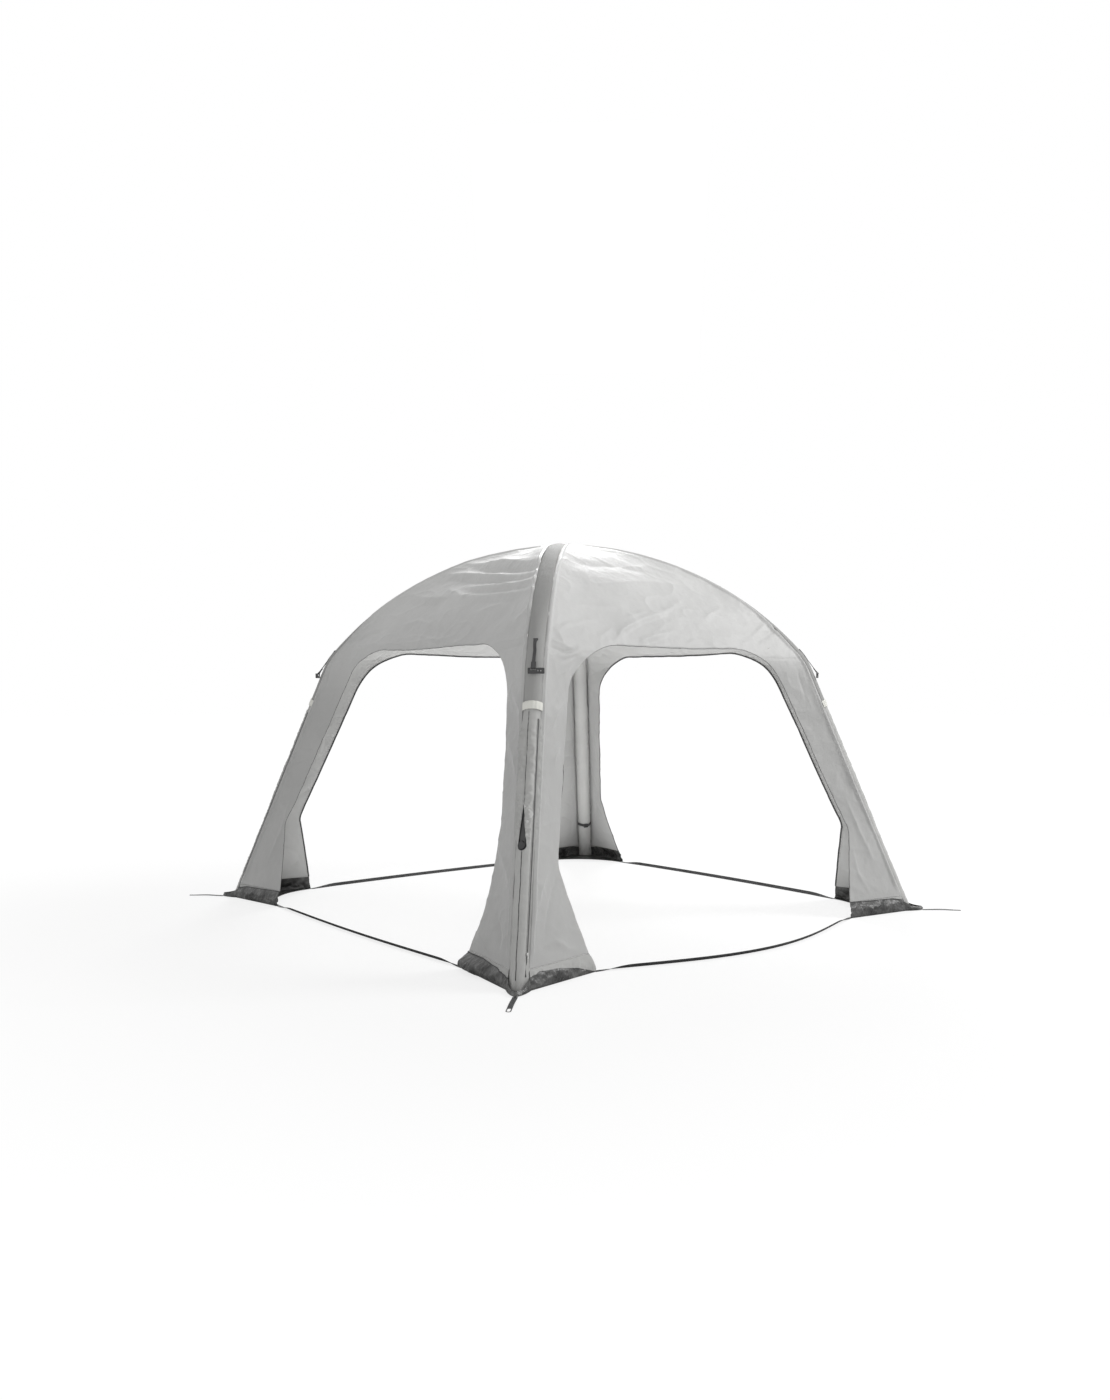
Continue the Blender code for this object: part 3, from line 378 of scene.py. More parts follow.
def mesh_from(name, points, faces, uv, groups=None):
    """A smooth mesh, with uv in metres for each point and a material number for each face."""
    mesh = bpy.data.meshes.new(name)
    faces = faces.tolist() if isinstance(faces, np.ndarray) else faces
    mesh.from_pydata(np.reshape(points, (-1, 3)).tolist(), [], faces)
    layer = mesh.uv_layers.new(name="metres")
    corners = np.empty(len(mesh.loops), np.int32)
    mesh.loops.foreach_get("vertex_index", corners)
    layer.data.foreach_set("uv", np.reshape(uv, (-1, 2)).astype(np.float32)[corners].ravel())
    if groups is not None:
        mesh.polygons.foreach_set("material_index", np.asarray(groups, np.int32))
    mesh.shade_smooth()
    mesh.update()
    return mesh


def vertex_values(mesh, key):
    values = np.empty(len(mesh.vertices) * 3, np.float64)
    mesh.vertices.foreach_get(key, values)
    return values.reshape(-1, 3)


@contextmanager
def editing(mesh):
    """The mesh as a bmesh, which is written back at the end."""
    edit = bmesh.new()
    edit.from_mesh(mesh)
    yield edit
    edit.to_mesh(mesh)
    edit.free()


def thicken(piece, kind):
    shell = piece.modifiers.new("wall", "SOLIDIFY")
    shell.thickness = WALLS[kind]
    shell.offset = -1


def sweep(rings, along, around, closed=False):
    """Points, faces and uv of a skin over rings of points, with ends or closed on itself."""
    count, sides = rings.shape[:2]
    faces = grid(count, sides, closed=True).tolist()
    last = (count - 1) * sides
    if closed:
        faces += [[last + side, last + (side + 1) % sides, (side + 1) % sides, side]
                  for side in range(sides)]
    else:
        faces.append(list(range(sides))[::-1])
        faces.append([last + side for side in range(sides)])
    uv = np.stack(np.broadcast_arrays(around, along[:, None]), -1)
    return rings.reshape(-1, 3), faces, uv.reshape(-1, 2)


def ribbon(points, across, width, wall, narrow=1.0):
    """Points, faces and uv of a flat strip along points; across is its width's direction."""
    points = np.asarray(points, float)
    across = unit(np.broadcast_to(np.asarray(across, float), points.shape))
    up = unit(np.cross(np.gradient(points, axis=0), across))
    across = across * np.broadcast_to(narrow, len(points))[:, None]
    half = width / 2
    thin = wall / 2
    section = [(-half, 0), (-half * 0.98, thin), (-half * 0.9, thin), (0, thin),
               (half * 0.9, thin), (half * 0.98, thin), (half, 0), (half * 0.98, -thin),
               (half * 0.9, -thin), (-half * 0.9, -thin), (-half * 0.98, -thin)]
    rings = np.stack([points + across * a + up * b for a, b in section], 1)
    return sweep(rings, run_along(points), [a for a, _ in section])


def tube(path, radius, sides=8, closed=False):
    """Points, faces and uv of a thin round cord along a path."""
    path = np.asarray(path, float)
    way = np.roll(path, -1, 0) - np.roll(path, 1, 0) if closed else np.gradient(path, axis=0)
    way = unit(way)
    first = unit(np.cross(way, np.array((0.3, 0.5, 0.81))))
    second = np.cross(way, first)
    turn = np.arange(sides) * math.tau / sides
    rings = (path[:, None] + radius * (first[:, None] * np.cos(turn)[None, :, None]
                                      + second[:, None] * np.sin(turn)[None, :, None]))
    return sweep(rings, run_along(path), turn * radius, closed)


def resample(path, step):
    run = run_along(path)
    places = np.linspace(0, run[-1], max(2, int(run[-1] / step) + 1))
    return np.stack([np.interp(places, run, path[:, axis]) for axis in range(3)], -1)


def join(name, parts):
    """One mesh of several (points, faces, uv) parts."""
    faces = []
    count = 0
    for vertices, quads, _ in parts:
        faces += [[int(index) + count for index in face] for face in quads]
        count += len(vertices)
    return mesh_from(name, np.concatenate([part[0] for part in parts]), faces,
                     np.concatenate([part[2] for part in parts]))


# Materials


def add_node(tree, kind, links=(), **values):
    """A shader node with its inputs or attributes set and sockets linked to its inputs."""
    item = tree.nodes.new("ShaderNode" + kind)
    for key, value in values.items():
        key = key.replace("_", " ") if key[0].isupper() else key
        if key in item.inputs:
            item.inputs[key].default_value = value
        else:
            setattr(item, key, value)
    for key, socket in links:
        tree.links.new(socket, item.inputs[key])
    return item


class Look:
    """A Principled material and short calls for its nodes."""

    def __init__(self, name, colour, roughness, metallic=0.0):
        self.material = bpy.data.materials.new(name)
        self.material.use_nodes = True
        self.tree = self.material.node_tree
        self.shader = self.tree.nodes["Principled BSDF"]
        self.shader.inputs["Base Color"].default_value = (*colour, 1)
        self.shader.inputs["Roughness"].default_value = roughness
        self.shader.inputs["Metallic"].default_value = metallic
        self.colour = colour
        self.bump = None

    def node(self, kind, links=(), **values):
        return add_node(self.tree, kind, links, **values)

    def place(self, kind="Object"):
        return self.node("TexCoord").outputs[kind]

    def link(self, socket, key):
        self.tree.links.new(socket, self.shader.inputs[key])

    def speckle(self, scale, detail=4.0):
        links = [("Vector", self.place())]
        return self.node("TexNoise", links, Scale=scale, Detail=detail).outputs["Fac"]

    def weave(self, pitch):
        """Threads over and under each other, as a height."""
        split = self.node("SeparateXYZ", [("Vector", self.place("UV"))])
        rows = []
        for axis in ("X", "Y"):
            turn = self.node("Math", [(0, split.outputs[axis])], operation="MULTIPLY")
            turn.inputs[1].default_value = math.tau / pitch
            rows.append(self.node("Math", [(0, turn.outputs[0])], operation="SINE").outputs[0])
        return self.node("Math", list(enumerate(rows)), operation="MULTIPLY").outputs[0]

    def vary(self, scale, detail, low, high, darker, lighter):
        """Base colour in speckles from darker to lighter shades of the material's own."""
        ramp = self.node("MapRange", [("Value", self.speckle(scale, detail))],
                         From_Min=low, From_Max=high)
        mix = self.node("Mix", [(0, ramp.outputs["Result"])], data_type="RGBA")
        mix.inputs[6].default_value = (*[value * darker for value in self.colour], 1)
        mix.inputs[7].default_value = (*[value * lighter for value in self.colour], 1)
        self.link(mix.outputs[2], "Base Color")
        return mix.outputs[2]

    def rough(self, scale, low, high):
        ramp = self.node("MapRange", [("Value", self.speckle(scale))], To_Min=low, To_Max=high)
        self.link(ramp.outputs["Result"], "Roughness")

    def raise_by(self, height, distance, strength=1.0):
        """Add a bump layer on top of those before it."""
        links = [("Height", height)] + ([("Normal", self.bump)] if self.bump else [])
        self.bump = self.node("Bump", links, Distance=distance, Strength=strength).outputs["Normal"]
        self.link(self.bump, "Normal")


# Colour, roughness, pitch of the threads, blotches, sheen and the painted shade at the foot of the
# roof
CLOTHS = {
    "roof": ("roof_fabric", (0.66, 0.66, 0.65), 0.50, 0.0011, 0.05, 0.35, 0.42),
    "cover": ("rib_cover_fabric", (0.345, 0.345, 0.338), 0.70, 0.0011, 0.05, 0.0, None),
    # The leg cloth is the roof's fabric in a darker grey: painted shade, matching the roof's colour
    # at its foot
    "leg": ("leg_fabric", (0.43, 0.43, 0.42), 0.66, 0.0011, 0.05, 0.0, None),
    "sleeve": ("sleeve_fabric", (0.45, 0.45, 0.44), 0.64, 0.0011, 0.07, 0.0, None),
    "band": ("white_band", (0.76, 0.76, 0.71), 0.5, 0.0012, 0.03, 0.0, None),
    "fold": ("folded_fabric", (0.64, 0.64, 0.63), 0.55, 0.0011, 0.05, 0.0, None),
}
# Heights over which the roof's colour rises from the painted shade at its foot to full colour, a
# painted highlight near the crown
ROOF_PAINTED_SHADE = (1.25, 2.25)

# Colour, roughness and metal; speckles of the colour; speckles of the roughness; threads, or
# speckles of the height
PLAIN = {
    "pvc": (("mud_flap_sheet", (0.050, 0.050, 0.049), 0.30), (13.0, 6.0, 0.36, 0.66, 0.45, 2.3),
            (18.0, 0.20, 0.46), (34.0, 6.0), (0.012, 0.8)),
    "webbing": (("webbing", (0.026, 0.026, 0.027), 0.72), (14.0, 4.0, 0.3, 0.7, 0.8, 1.5),
                None, 0.0028, (0.0006, 0.8)),
    "sewn": (("sewn_webbing", (0.046, 0.046, 0.047), 0.72), (14.0, 4.0, 0.3, 0.7, 0.8, 1.5),
             None, 0.0028, (0.0006, 0.8)),
    "tape": (("binding_tape", (0.05, 0.05, 0.051), 0.7), (11.0, 4.0, 0.3, 0.7, 0.8, 1.4),
             None, 0.0016, (0.0004, 0.7)),
    "coil": (("zip_coil", (0.06, 0.06, 0.06), 0.38), (40.0, 4.0, 0.3, 0.7, 0.85, 1.3),
             None, None, None),
    "zip_cloth": (("zip_cloth", (0.33, 0.33, 0.325), 0.7), (11.0, 4.0, 0.3, 0.7, 0.85, 1.2),
                  None, 0.0016, (0.0004, 0.7)),
    "plastic": (("moulded_plastic", (0.028, 0.028, 0.029), 0.42),
                (60.0, 4.0, 0.3, 0.7, 0.85, 1.35), (120.0, 0.34, 0.52), (900.0, 2.0),
                (0.0003, 0.25)),
    "white": (("white_plastic", (0.70, 0.70, 0.66), 0.38), (80.0, 4.0, 0.3, 0.7, 0.95, 1.04),
              None, None, None),
    "metal": (("plated_metal", (0.50, 0.50, 0.49), 0.3, 1.0), None, (160.0, 0.22, 0.42), None,
              None),
    # The bladder film's near-black colour is painted shade: the beam seen through the valve's slit
    # reads as the shade inside it
    "film": (("bladder_film", (0.045, 0.045, 0.045), 0.3), (6.0, 4.0, 0.3, 0.7, 0.94, 1.05),
             (14.0, 0.22, 0.4), (35.0, 4.0), (0.002, 0.3)),
}


def make_looks():
    for key, (name, colour, roughness, pitch, blotch, sheen, low) in CLOTHS.items():
        look = LOOKS[key] = Look(name, colour, roughness)
        shade = look.vary(2.3, 5.0, 0.3, 0.7, 1 - blotch, 1 + blotch)
        # Painted shade and highlight: the roof's colour is darker towards its foot and the legs,
        # lighter towards the crown
        if low:
            height = look.node("SeparateXYZ", [("Vector", look.place())]).outputs["Z"]
            ramp = look.node("MapRange", [("Value", height)], From_Min=ROOF_PAINTED_SHADE[0],
                             From_Max=ROOF_PAINTED_SHADE[1], To_Min=low / colour[0])
            scale = look.node("VectorMath", [(0, shade)], operation="SCALE")
            look.tree.links.new(ramp.outputs["Result"], scale.inputs["Scale"])
            look.link(scale.outputs[0], "Base Color")
        look.rough(9.0, roughness - 0.08, roughness + 0.06)
        look.raise_by(look.speckle(7.0, 4.0), 0.012, 0.35)
        look.raise_by(look.speckle(30.0, 5.0), 0.004, 0.45)
        look.raise_by(look.weave(pitch), 0.0002, 0.35)
        look.shader.inputs["Sheen Weight"].default_value = sheen
        look.shader.inputs["Specular IOR Level"].default_value = 0.3
    for key, (surface, shades, gloss, relief, bump) in PLAIN.items():
        look = LOOKS[key] = Look(*surface)
        if shades:
            look.vary(*shades)
        if gloss:
            look.rough(*gloss)
        if relief:
            height = look.speckle(*relief) if isinstance(relief, tuple) else look.weave(relief)
            look.raise_by(height, *bump)


# Camera, floor and light


def make_camera():
    ahead = Vector((math.cos(VIEW_YAW), math.sin(VIEW_YAW), 0))
    right = Vector((math.sin(VIEW_YAW), -math.cos(VIEW_YAW), 0))
    place = -ahead * VIEW_DISTANCE + right * VIEW_ASIDE + Vector((0, 0, VIEW_HEIGHT))
    look = ahead * math.cos(VIEW_PITCH) + Vector((0, 0, math.sin(VIEW_PITCH)))
    up = -ahead * math.sin(VIEW_PITCH) + Vector((0, 0, math.cos(VIEW_PITCH)))
    side = right * math.cos(VIEW_ROLL) + up * math.sin(VIEW_ROLL)
    top = up * math.cos(VIEW_ROLL) - right * math.sin(VIEW_ROLL)
    data = bpy.data.cameras.new("camera")
    data.sensor_width = SENSOR
    data.lens = FOCAL_PIXELS * SENSOR / IMAGE[1]
    data.shift_x = (IMAGE[0] / 2 - PRINCIPAL[0]) / IMAGE[1]
    data.shift_y = (PRINCIPAL[1] - IMAGE[1] / 2) / IMAGE[1]
    data.clip_start = 0.05
    data.clip_end = 200
    camera = place_object("camera", data)
    matrix = Matrix((side, top, -look)).transposed().to_4x4()
    matrix.translation = place
    camera.matrix_world = matrix
    bpy.context.scene.camera = camera


def light(name, size, energy, place, target=(0, 0, 0.9), seen=True):
    data = bpy.data.lights.new(name, "AREA")
    data.shape = "RECTANGLE"
    data.size, data.size_y = size
    data.energy = energy
    lamp = place_object(name, data)
    lamp.visible_camera = seen
    lamp.visible_glossy = seen
    way = Vector(target) - Vector(place)
    matrix = way.to_track_quat("-Z", "Y").to_matrix().to_4x4()
    matrix.translation = place
    lamp.matrix_world = matrix


def make_stage():
    mesh = bpy.data.meshes.new("floor")
    with editing(mesh) as edit:
        bmesh.ops.create_grid(edit, x_segments=4, y_segments=4, size=60)
    floor = place_object("floor", mesh)
    floor.location.z = -0.0008
    paper = Look("floor_paper", (0.90, 0.90, 0.90), 0.9)
    paper.shader.inputs["Specular IOR Level"].default_value = 0.0
    glow = paper.node("Emission", Color=WHITE, Strength=1.04)
    far = paper.node("VectorMath", [(0, paper.place())], operation="LENGTH").outputs["Value"]
    rise = paper.node("MapRange", [("Value", far)], interpolation_type="SMOOTHSTEP",
                      From_Min=2.6, From_Max=6.5, To_Min=0.74, To_Max=1.0)
    camera_ray = paper.node("LightPath").outputs["Is Camera Ray"]
    share = paper.node("Math", [(0, camera_ray), (1, rise.outputs["Result"])],
                       operation="MULTIPLY")
    mix = paper.node("MixShader", [("Fac", share.outputs[0]), (1, paper.shader.outputs[0]),
                                   (2, glow.outputs[0])])
    output = paper.tree.nodes["Material Output"]
    paper.tree.links.new(mix.outputs[0], output.inputs["Surface"])
    mesh.materials.append(paper.material)

    world = bpy.data.worlds.new("studio")
    bpy.context.scene.world = world
    world.use_nodes = True
    tree = world.node_tree
    soft = tree.nodes["Background"]
    soft.inputs["Color"].default_value = WHITE
    soft.inputs["Strength"].default_value = 0.55
    white = add_node(tree, "Background", Color=WHITE, Strength=1.0)
    path = add_node(tree, "LightPath")
    seen = path.outputs["Is Camera Ray"]
    for kind in ("Is Glossy Ray", "Is Transmission Ray"):
        both = add_node(tree, "Math", [(0, seen), (1, path.outputs[kind])], operation="MAXIMUM")
        seen = both.outputs[0]
    mix = add_node(tree, "MixShader", [("Fac", seen), (1, soft.outputs[0]), (2, white.outputs[0])])
    tree.links.new(mix.outputs[0], tree.nodes["World Output"].inputs["Surface"])

    light("key", (3.4, 3.4), 440, (6.1, -4.5, 7.0))
    light("fill", (4.0, 2.5), 45, (-5.5, -6.5, 1.6))
    light("top", (2.6, 2.6), 310, (4.4, 4.8, 6.4), (0, 0, 2.1))
    light("bounce", (2.6, 2.6), 25, (0, 0, 0.02), (0, 0, 1), False)


# Webbing on the ground


def strap_root(inward):
    width = float(wing_width(FLAP_FOOT))
    ends = skin(np.array([FLAP_FOOT, FLAP_FOOT]), np.array([1.0, 0.62]) * width)
    way = (ends[1] - ends[0])[:2]
    way /= np.linalg.norm(way)
    point = ends[0][:2] + np.array((-way[1], way[0])) * FLAP_OUT
    return point - np.array((1, 1)) / ROOT * inward


def make_straps():
    root = turn_z(np.array([*strap_root(STRAP_HALF), 0.0]), -DIAGONAL)
    share = np.linspace(0, 1, 57)
    roll = STRAP_ROLL * smooth(np.minimum(share, 1 - share), 0.004, 0.10)
    lift = WEBBING / 2 + 0.0002 + STRAP_HALF * np.sin(roll)
    up = np.array((0, 0, 1.0))
    for side, azimuth in SIDE_AZIMUTHS.items():
        y = (root[1] + CLEAR) * (1 - 2 * share)
        x = root[0] + STRAP_BOW[side] * np.sin(np.pi * share) ** STRAP_ARC
        path = turn_z(np.stack([x, y, lift], -1), azimuth)
        level = unit(np.cross(np.gradient(path, axis=0), up))
        across = level * np.cos(roll)[:, None] + up * np.sin(roll)[:, None]
        mesh = mesh_from("strap_" + side, *ribbon(path, across, STRAP_WIDTH, WEBBING))
        strap = add("strap_" + side, mesh, "webbing", None, ["ground_strap_" + side])


# Canopy

FOLD_HEIGHT = 1.3
PHOTO_SIDES = ("front", "left")

# Folds seen in the photograph: half width and height in millimetres, then points in its pixels
FOLDS = [
    (20, -6, 487, 555, 503, 557, 545, 555),
    (22, 6, 468, 565, 503, 562, 543, 560),
    (20, -8, 478, 570, 505, 569, 543, 568),
    (20, 8, 450, 575, 480, 575, 543, 572),
    (22, -8, 452, 580, 490, 581, 543, 576),
    (22, 8, 466, 588, 505, 585, 541, 579),
    (20, -6, 472, 593, 505, 590, 541, 585),
    (20, 6, 455, 598, 500, 595, 540, 589),
    (24, -4, 473, 603, 510, 600, 540, 594),
    (14, 4, 448, 590, 458, 594, 466, 600),
    (12, 3, 462, 600, 472, 594),
    (18, 4, 476, 613, 490, 608, 503, 603),
    (18, 3, 412, 596, 438, 599, 455, 597),
    (18, -3, 410, 604, 440, 605),
    (14, 4, 402, 626, 420, 622, 440, 629),
    (14, 5, 396, 640, 420, 637, 438, 642, 456, 636),
    (15, 6, 346, 646, 390, 645, 430, 642, 470, 645),
    (12, -4, 398, 649, 440, 646, 460, 649),
    (12, 5, 352, 637, 362, 630, 375, 622),
    (13, -4, 350, 642, 368, 635, 384, 631),
    (15, 5, 495, 642, 518, 639, 533, 634),
    (12, -4, 500, 649, 520, 644, 534, 642),
    (16, 4, 515, 622, 524, 614, 532, 603),
    (14, 5, 616, 641, 622, 631, 631, 624),
    (17, 6, 622, 630, 642, 619, 664, 612, 679, 602),
    (15, -4, 626, 634, 645, 623, 666, 617),
    (13, 4, 626, 618, 637, 614, 648, 610),
    (15, 6, 624, 647, 642, 641, 658, 635, 674, 631),
    (14, -4, 630, 650, 650, 643, 668, 638),
    (12, 4, 704, 619, 710, 614, 720, 609),
    (30, 4, 590, 585, 650, 583, 684, 586),
    (30, -4, 575, 563, 620, 566, 652, 574),
    (22, 3, 690, 600, 720, 596, 742, 598),
    (12, 5, 752, 638, 760, 629, 767, 623),
    (13, -5, 756, 644, 770, 632, 777, 628),
    (12, 5, 776, 645, 784, 639, 792, 635),
    (14, 5, 757, 651, 778, 649, 800, 648),
    (10, 6, 552, 641, 560, 643, 571, 648),
    (11, -9, 552, 647, 565, 652, 576, 648),
    (12, 5, 553, 653, 566, 656, 580, 652),
    (11, 5, 555, 630, 560, 636, 563, 643),
    (12, -4, 560, 662, 570, 658, 582, 655),
    (11, 4, 558, 676, 566, 671, 574, 664),
    (14, 5, 567, 700, 556, 712, 551, 730),
    (12, 4, 560, 745, 553, 760),
    (13, 4, 513, 690, 519, 705, 522, 722),
    (14, 4, 508, 740, 514, 757, 516, 775),
    (16, 5, 500, 850, 508, 870, 512, 895),
    (18, 7, 548, 868, 540, 890, 534, 920),
    (14, -5, 556, 880, 549, 905, 545, 935),
    (12, 6, 555, 940, 570, 949, 586, 953),
    (13, 5, 566, 928, 572, 942, 588, 958),
    (12, -5, 545, 945, 560, 957, 580, 960),
    (14, 6, 478, 930, 485, 942, 489, 958),
    (12, 4, 471, 945, 478, 952, 494, 962),
    (14, -5, 497, 915, 500, 935, 499, 955),
    (14, 4, 322, 668, 318, 690, 309, 720),
    (13, -4, 330, 668, 325, 690),
    (16, 5, 290, 800, 282, 830, 268, 862),
    (15, 6, 300, 828, 290, 850, 284, 880),
    (13, 4, 262, 862, 268, 880, 280, 893),
    (13, 5, 805, 668, 812, 690, 822, 715),
    (12, -4, 798, 672, 806, 700),
    (16, 6, 846, 800, 858, 830, 872, 860),
    (10, 6, 885, 852, 873, 885, 860, 915),
    (14, 4, 852, 850, 858, 875, 872, 897),
    (12, -4, 880, 862, 889, 885, 896, 900),
]

COVER_DROP = 0.008
COVER_RISE = (1.66, 1.90)
CROWN_FILL = 0.020
CROWN_START = 0.052
CORNERS = {("left", -1): 0.18}
KINK_SOFT = {("left", -1): 0.34, ("back", 1): 0.34}
PLAIN_KINK = 0.03


def cover_lift(turn, level):
    """How far the cover over a rib is drawn out to a flat band, above the roof's lower part."""
    flat = COVER_RADIUS - COVER_DROP * (turn / EDGE_TURN) ** 2 - COVER_RADIUS * np.cos(turn)
    return flat * smooth(level, *COVER_RISE)


def lift_roof(points, across, level, share):
    """Draw the panels up beside the ribs and near the crown."""
    aside = points[:, 1] * np.clip(share, 0, 1)
    way = np.stack([points[:, 0], aside, points[:, 2] - ROOF_CENTRE[1]], -1)
    reach = np.hypot(points[:, 0], points[:, 1])
    lift = cover_lift(EDGE_TURN, level) * np.exp(-(across / 0.10) ** 2)
    fill = CROWN_FILL * np.exp(-(reach / 0.55) ** 2) * (1 - np.exp(-(across / 0.06) ** 2))
    return points + unit(way) * (lift + fill)[:, None]


def canopy_half(side, hand):
    """One half of a side, rib to middle, in the leg's frame, with uv and its doorway's points."""
    eave_half = float(half_width(np.array(EAVE_HEIGHT)))
    radius = CORNERS.get((side, hand), DOORWAY_CORNER)
    corner = float(wing_width(EAVE_HEIGHT, 0.0, radius))
    leg_columns = int(corner / CELL)
    eave_columns = int((eave_half - corner) / CELL)
    stops = np.concatenate([np.linspace(0, corner, leg_columns + 1),
                            np.linspace(corner, eave_half, eave_columns + 1)[1:]])
    shares = stops / eave_half
    eave_length = float(length_at(EAVE_HEIGHT - 0.03))
    lengths = np.linspace(CROWN_START, eave_length, int(eave_length / CELL))
    centre, normal = rib_along(lengths)
    heights = centre[:, 1] + normal[:, 1] * COVER_RADIUS * math.cos(EDGE_TURN)
    heights = np.append(heights[heights > EAVE_HEIGHT + 0.006], EAVE_HEIGHT)
    widths = half_width(heights)
    roof = skin(heights[:, None] * np.ones_like(shares), widths[:, None] * shares).reshape(-1, 3)
    turns = np.radians(np.linspace(90, 0, int(radius * math.pi / 2 / CELL)))[1:]
    corner_heights = EAVE_HEIGHT - radius * (1 - np.sin(turns))
    low = np.append(np.arange(corner_heights[-1], FLAP_TOP, -CELL)[1:], FLAP_TOP + 0.0005)
    low[np.abs(low - KINK_HEIGHT).argmin()] = KINK_HEIGHT
    leg_heights = np.concatenate([corner_heights, low])
    leg_shares = np.linspace(0, 1, leg_columns + 1)
    leg_widths = wing_width(leg_heights, KINK_SOFT.get((side, hand), PLAIN_KINK), radius)
    leg = skin(leg_heights[:, None] * np.ones_like(leg_shares),
               leg_widths[:, None] * leg_shares).reshape(-1, 3)
    columns = len(shares)
    last_row = (len(heights) - 1) * columns
    bridge_top = last_row + np.arange(leg_columns + 1)
    bridge_low = len(roof) + np.arange(leg_columns + 1)
    faces = np.concatenate([
        grid(len(heights), columns),
        np.stack([bridge_top[:-1], bridge_top[1:], bridge_low[1:], bridge_low[:-1]], -1),
        grid(len(leg_heights), leg_columns + 1, start=len(roof))])
    across = np.concatenate([(widths[:, None] * shares).ravel(),
                             (leg_widths[:, None] * leg_shares).ravel()])
    level = np.concatenate([np.repeat(heights, columns), np.repeat(leg_heights, leg_columns + 1)])
    share = np.concatenate([np.tile(shares, len(heights)), np.zeros(len(leg))])
    points = lift_roof(np.concatenate([roof, leg]), across, level, share)
    if hand < 0:
        points = mirrored(points)
        across = -across
    else:
        faces = faces[:, ::-1]
    doorway = [len(roof) + row * (leg_columns + 1) + leg_columns
               for row in reversed(range(len(leg_heights)))]
    doorway += range(last_row + leg_columns, last_row + columns)
    return points, faces, np.stack([across, 3 - level], -1), doorway


def cover_strip():
    """The band of fabric over a rib, from the mitre at the crown to under the white band."""
    count = 13
    turn = np.linspace(-EDGE_TURN, EDGE_TURN, count)
    end = float(length_at(COVER_END))
    lengths = np.linspace(0, end, int(end / CELL))
    start = COVER_RADIUS * np.abs(np.sin(turn))
    run = lengths[:, None] + start * (1 - smooth(lengths, 0, 0.16))[:, None]
    centre, normal = rib_along(run)
    level = centre[..., 1] + normal[..., 1] * COVER_RADIUS * math.cos(EDGE_TURN)
    flat = centre + normal * (COVER_RADIUS * np.cos(turn))[:, None]
    flat = flat + unit(flat - ROOF_CENTRE) * cover_lift(turn, level)[..., None]
    y = np.broadcast_to(COVER_RADIUS * np.sin(turn), run.shape)
    return (np.stack([flat[..., 0], y, flat[..., 1]], -1).reshape(-1, 3),
            grid(len(lengths), count)[:, ::-1],
            np.stack([np.broadcast_to(turn * COVER_RADIUS, run.shape), run], -1).reshape(-1, 2))


def build_canopy():
    """The canopy's mesh and faces, its points on panels and off the ribs, and its doorways."""
    parts = []
    doorways = {}
    count = 0
    for side, azimuth in SIDE_AZIMUTHS.items():
        for hand in (1, -1):
            half, quads, uv, doorway = canopy_half(side, hand)
            doorways[side, hand] = [count + number for number in doorway]
            parts.append((turn_z(half, azimuth - DIAGONAL * hand), quads + count, uv))
            count += len(half)
    panels = count
    strip, quads, uv = cover_strip()
    for azimuth in LEG_AZIMUTHS.values():
        parts.append((turn_z(strip, azimuth), quads + count, uv))
        count += len(strip)
    points, faces, uv = [np.concatenate(item) for item in zip(*parts)]
    mesh = mesh_from("canopy", points, faces, uv, (faces >= panels).any(1).astype(int))
    return mesh, faces, np.arange(count) < panels, np.abs(uv[:, 0]), doorways


def canopy_relief(points, panel, across):
    """How far each point of the canopy stands out of the smooth shape."""
    height = points[:, 2]
    ridge = RIDGE_OUT * np.exp(-((across - RIDGE_AT) / RIDGE_WIDTH) ** 2)
    seam = -0.0015 * np.exp(-((height - SPLIT_HEIGHT) / SEAM_WIDTH) ** 2)
    fine = waves(points, 13.0, 3, 2)
    crease = ridges(points, 4.2, 4, 1.7) ** 5
    loose = (0.007 * waves(points, 2.2, 2, 1) + 0.0035 * waves(points, 5.5, 2, 3)
             + 0.0020 * fine + 0.0032 * crease)
    sewn = ridge * smooth(height, 0.08, 0.2) + seam
    return np.where(panel, sewn + smooth(across, 0.0, 0.05) * loose, 0.0006 * fine)


def photo_ray(x, y):
    """The camera's place and the direction that a pixel of the photograph looks in."""
    camera = bpy.context.scene.camera.matrix_world
    way = Vector(((x - PRINCIPAL[0]) / FOCAL_PIXELS, (PRINCIPAL[1] - y) / FOCAL_PIXELS, -1))
    return camera.translation, (camera.to_3x3() @ way).normalized()


def add_folds(points, faces, panel, relief):
    """Lay the photograph's folds on the panels and looser ones on the sides behind."""
    tree = BVHTree.FromPolygons(points.tolist(), faces.tolist())
    lines = []
    for width, out, *spots in FOLDS:
        rays = [photo_ray(x, y) for x, y in zip(spots[::2], spots[1::2])]
        hits = [tree.ray_cast(*ray) for ray in rays]
        if any(hit[0] is None for hit in hits):
            continue
        facing = np.mean([abs(hit[1].dot(ray[1])) for hit, ray in zip(hits, rays)])
        wider = float(np.clip(0.62 / facing, 1, 2.3))
        lines.append((np.array([hit[0] for hit in hits]), width / 1000 * wider,
                      out / 1000 * FOLD_HEIGHT * wider ** 1.3))
    for line, width, out in lines + hidden_folds():
        near = np.flatnonzero(((points > line.min(0) - 3 * width)
                               & (points < line.max(0) + 3 * width)).all(1) & panel)
        closest = np.full(len(near), 9.0)
        place = np.zeros(len(near))
        count = len(line) - 1
        for index in range(count):
            far, share = segment_distance(points[near], line[index], line[index + 1])
            better = far < closest
            closest[better] = far[better]
            place[better] = (index + share[better]) / count
        taper = np.sin(np.pi * np.clip(0.06 + place * 0.88, 0, 1)) ** 0.7
        relief[near] += out * taper * np.exp(-(closest / width) ** 1.3)


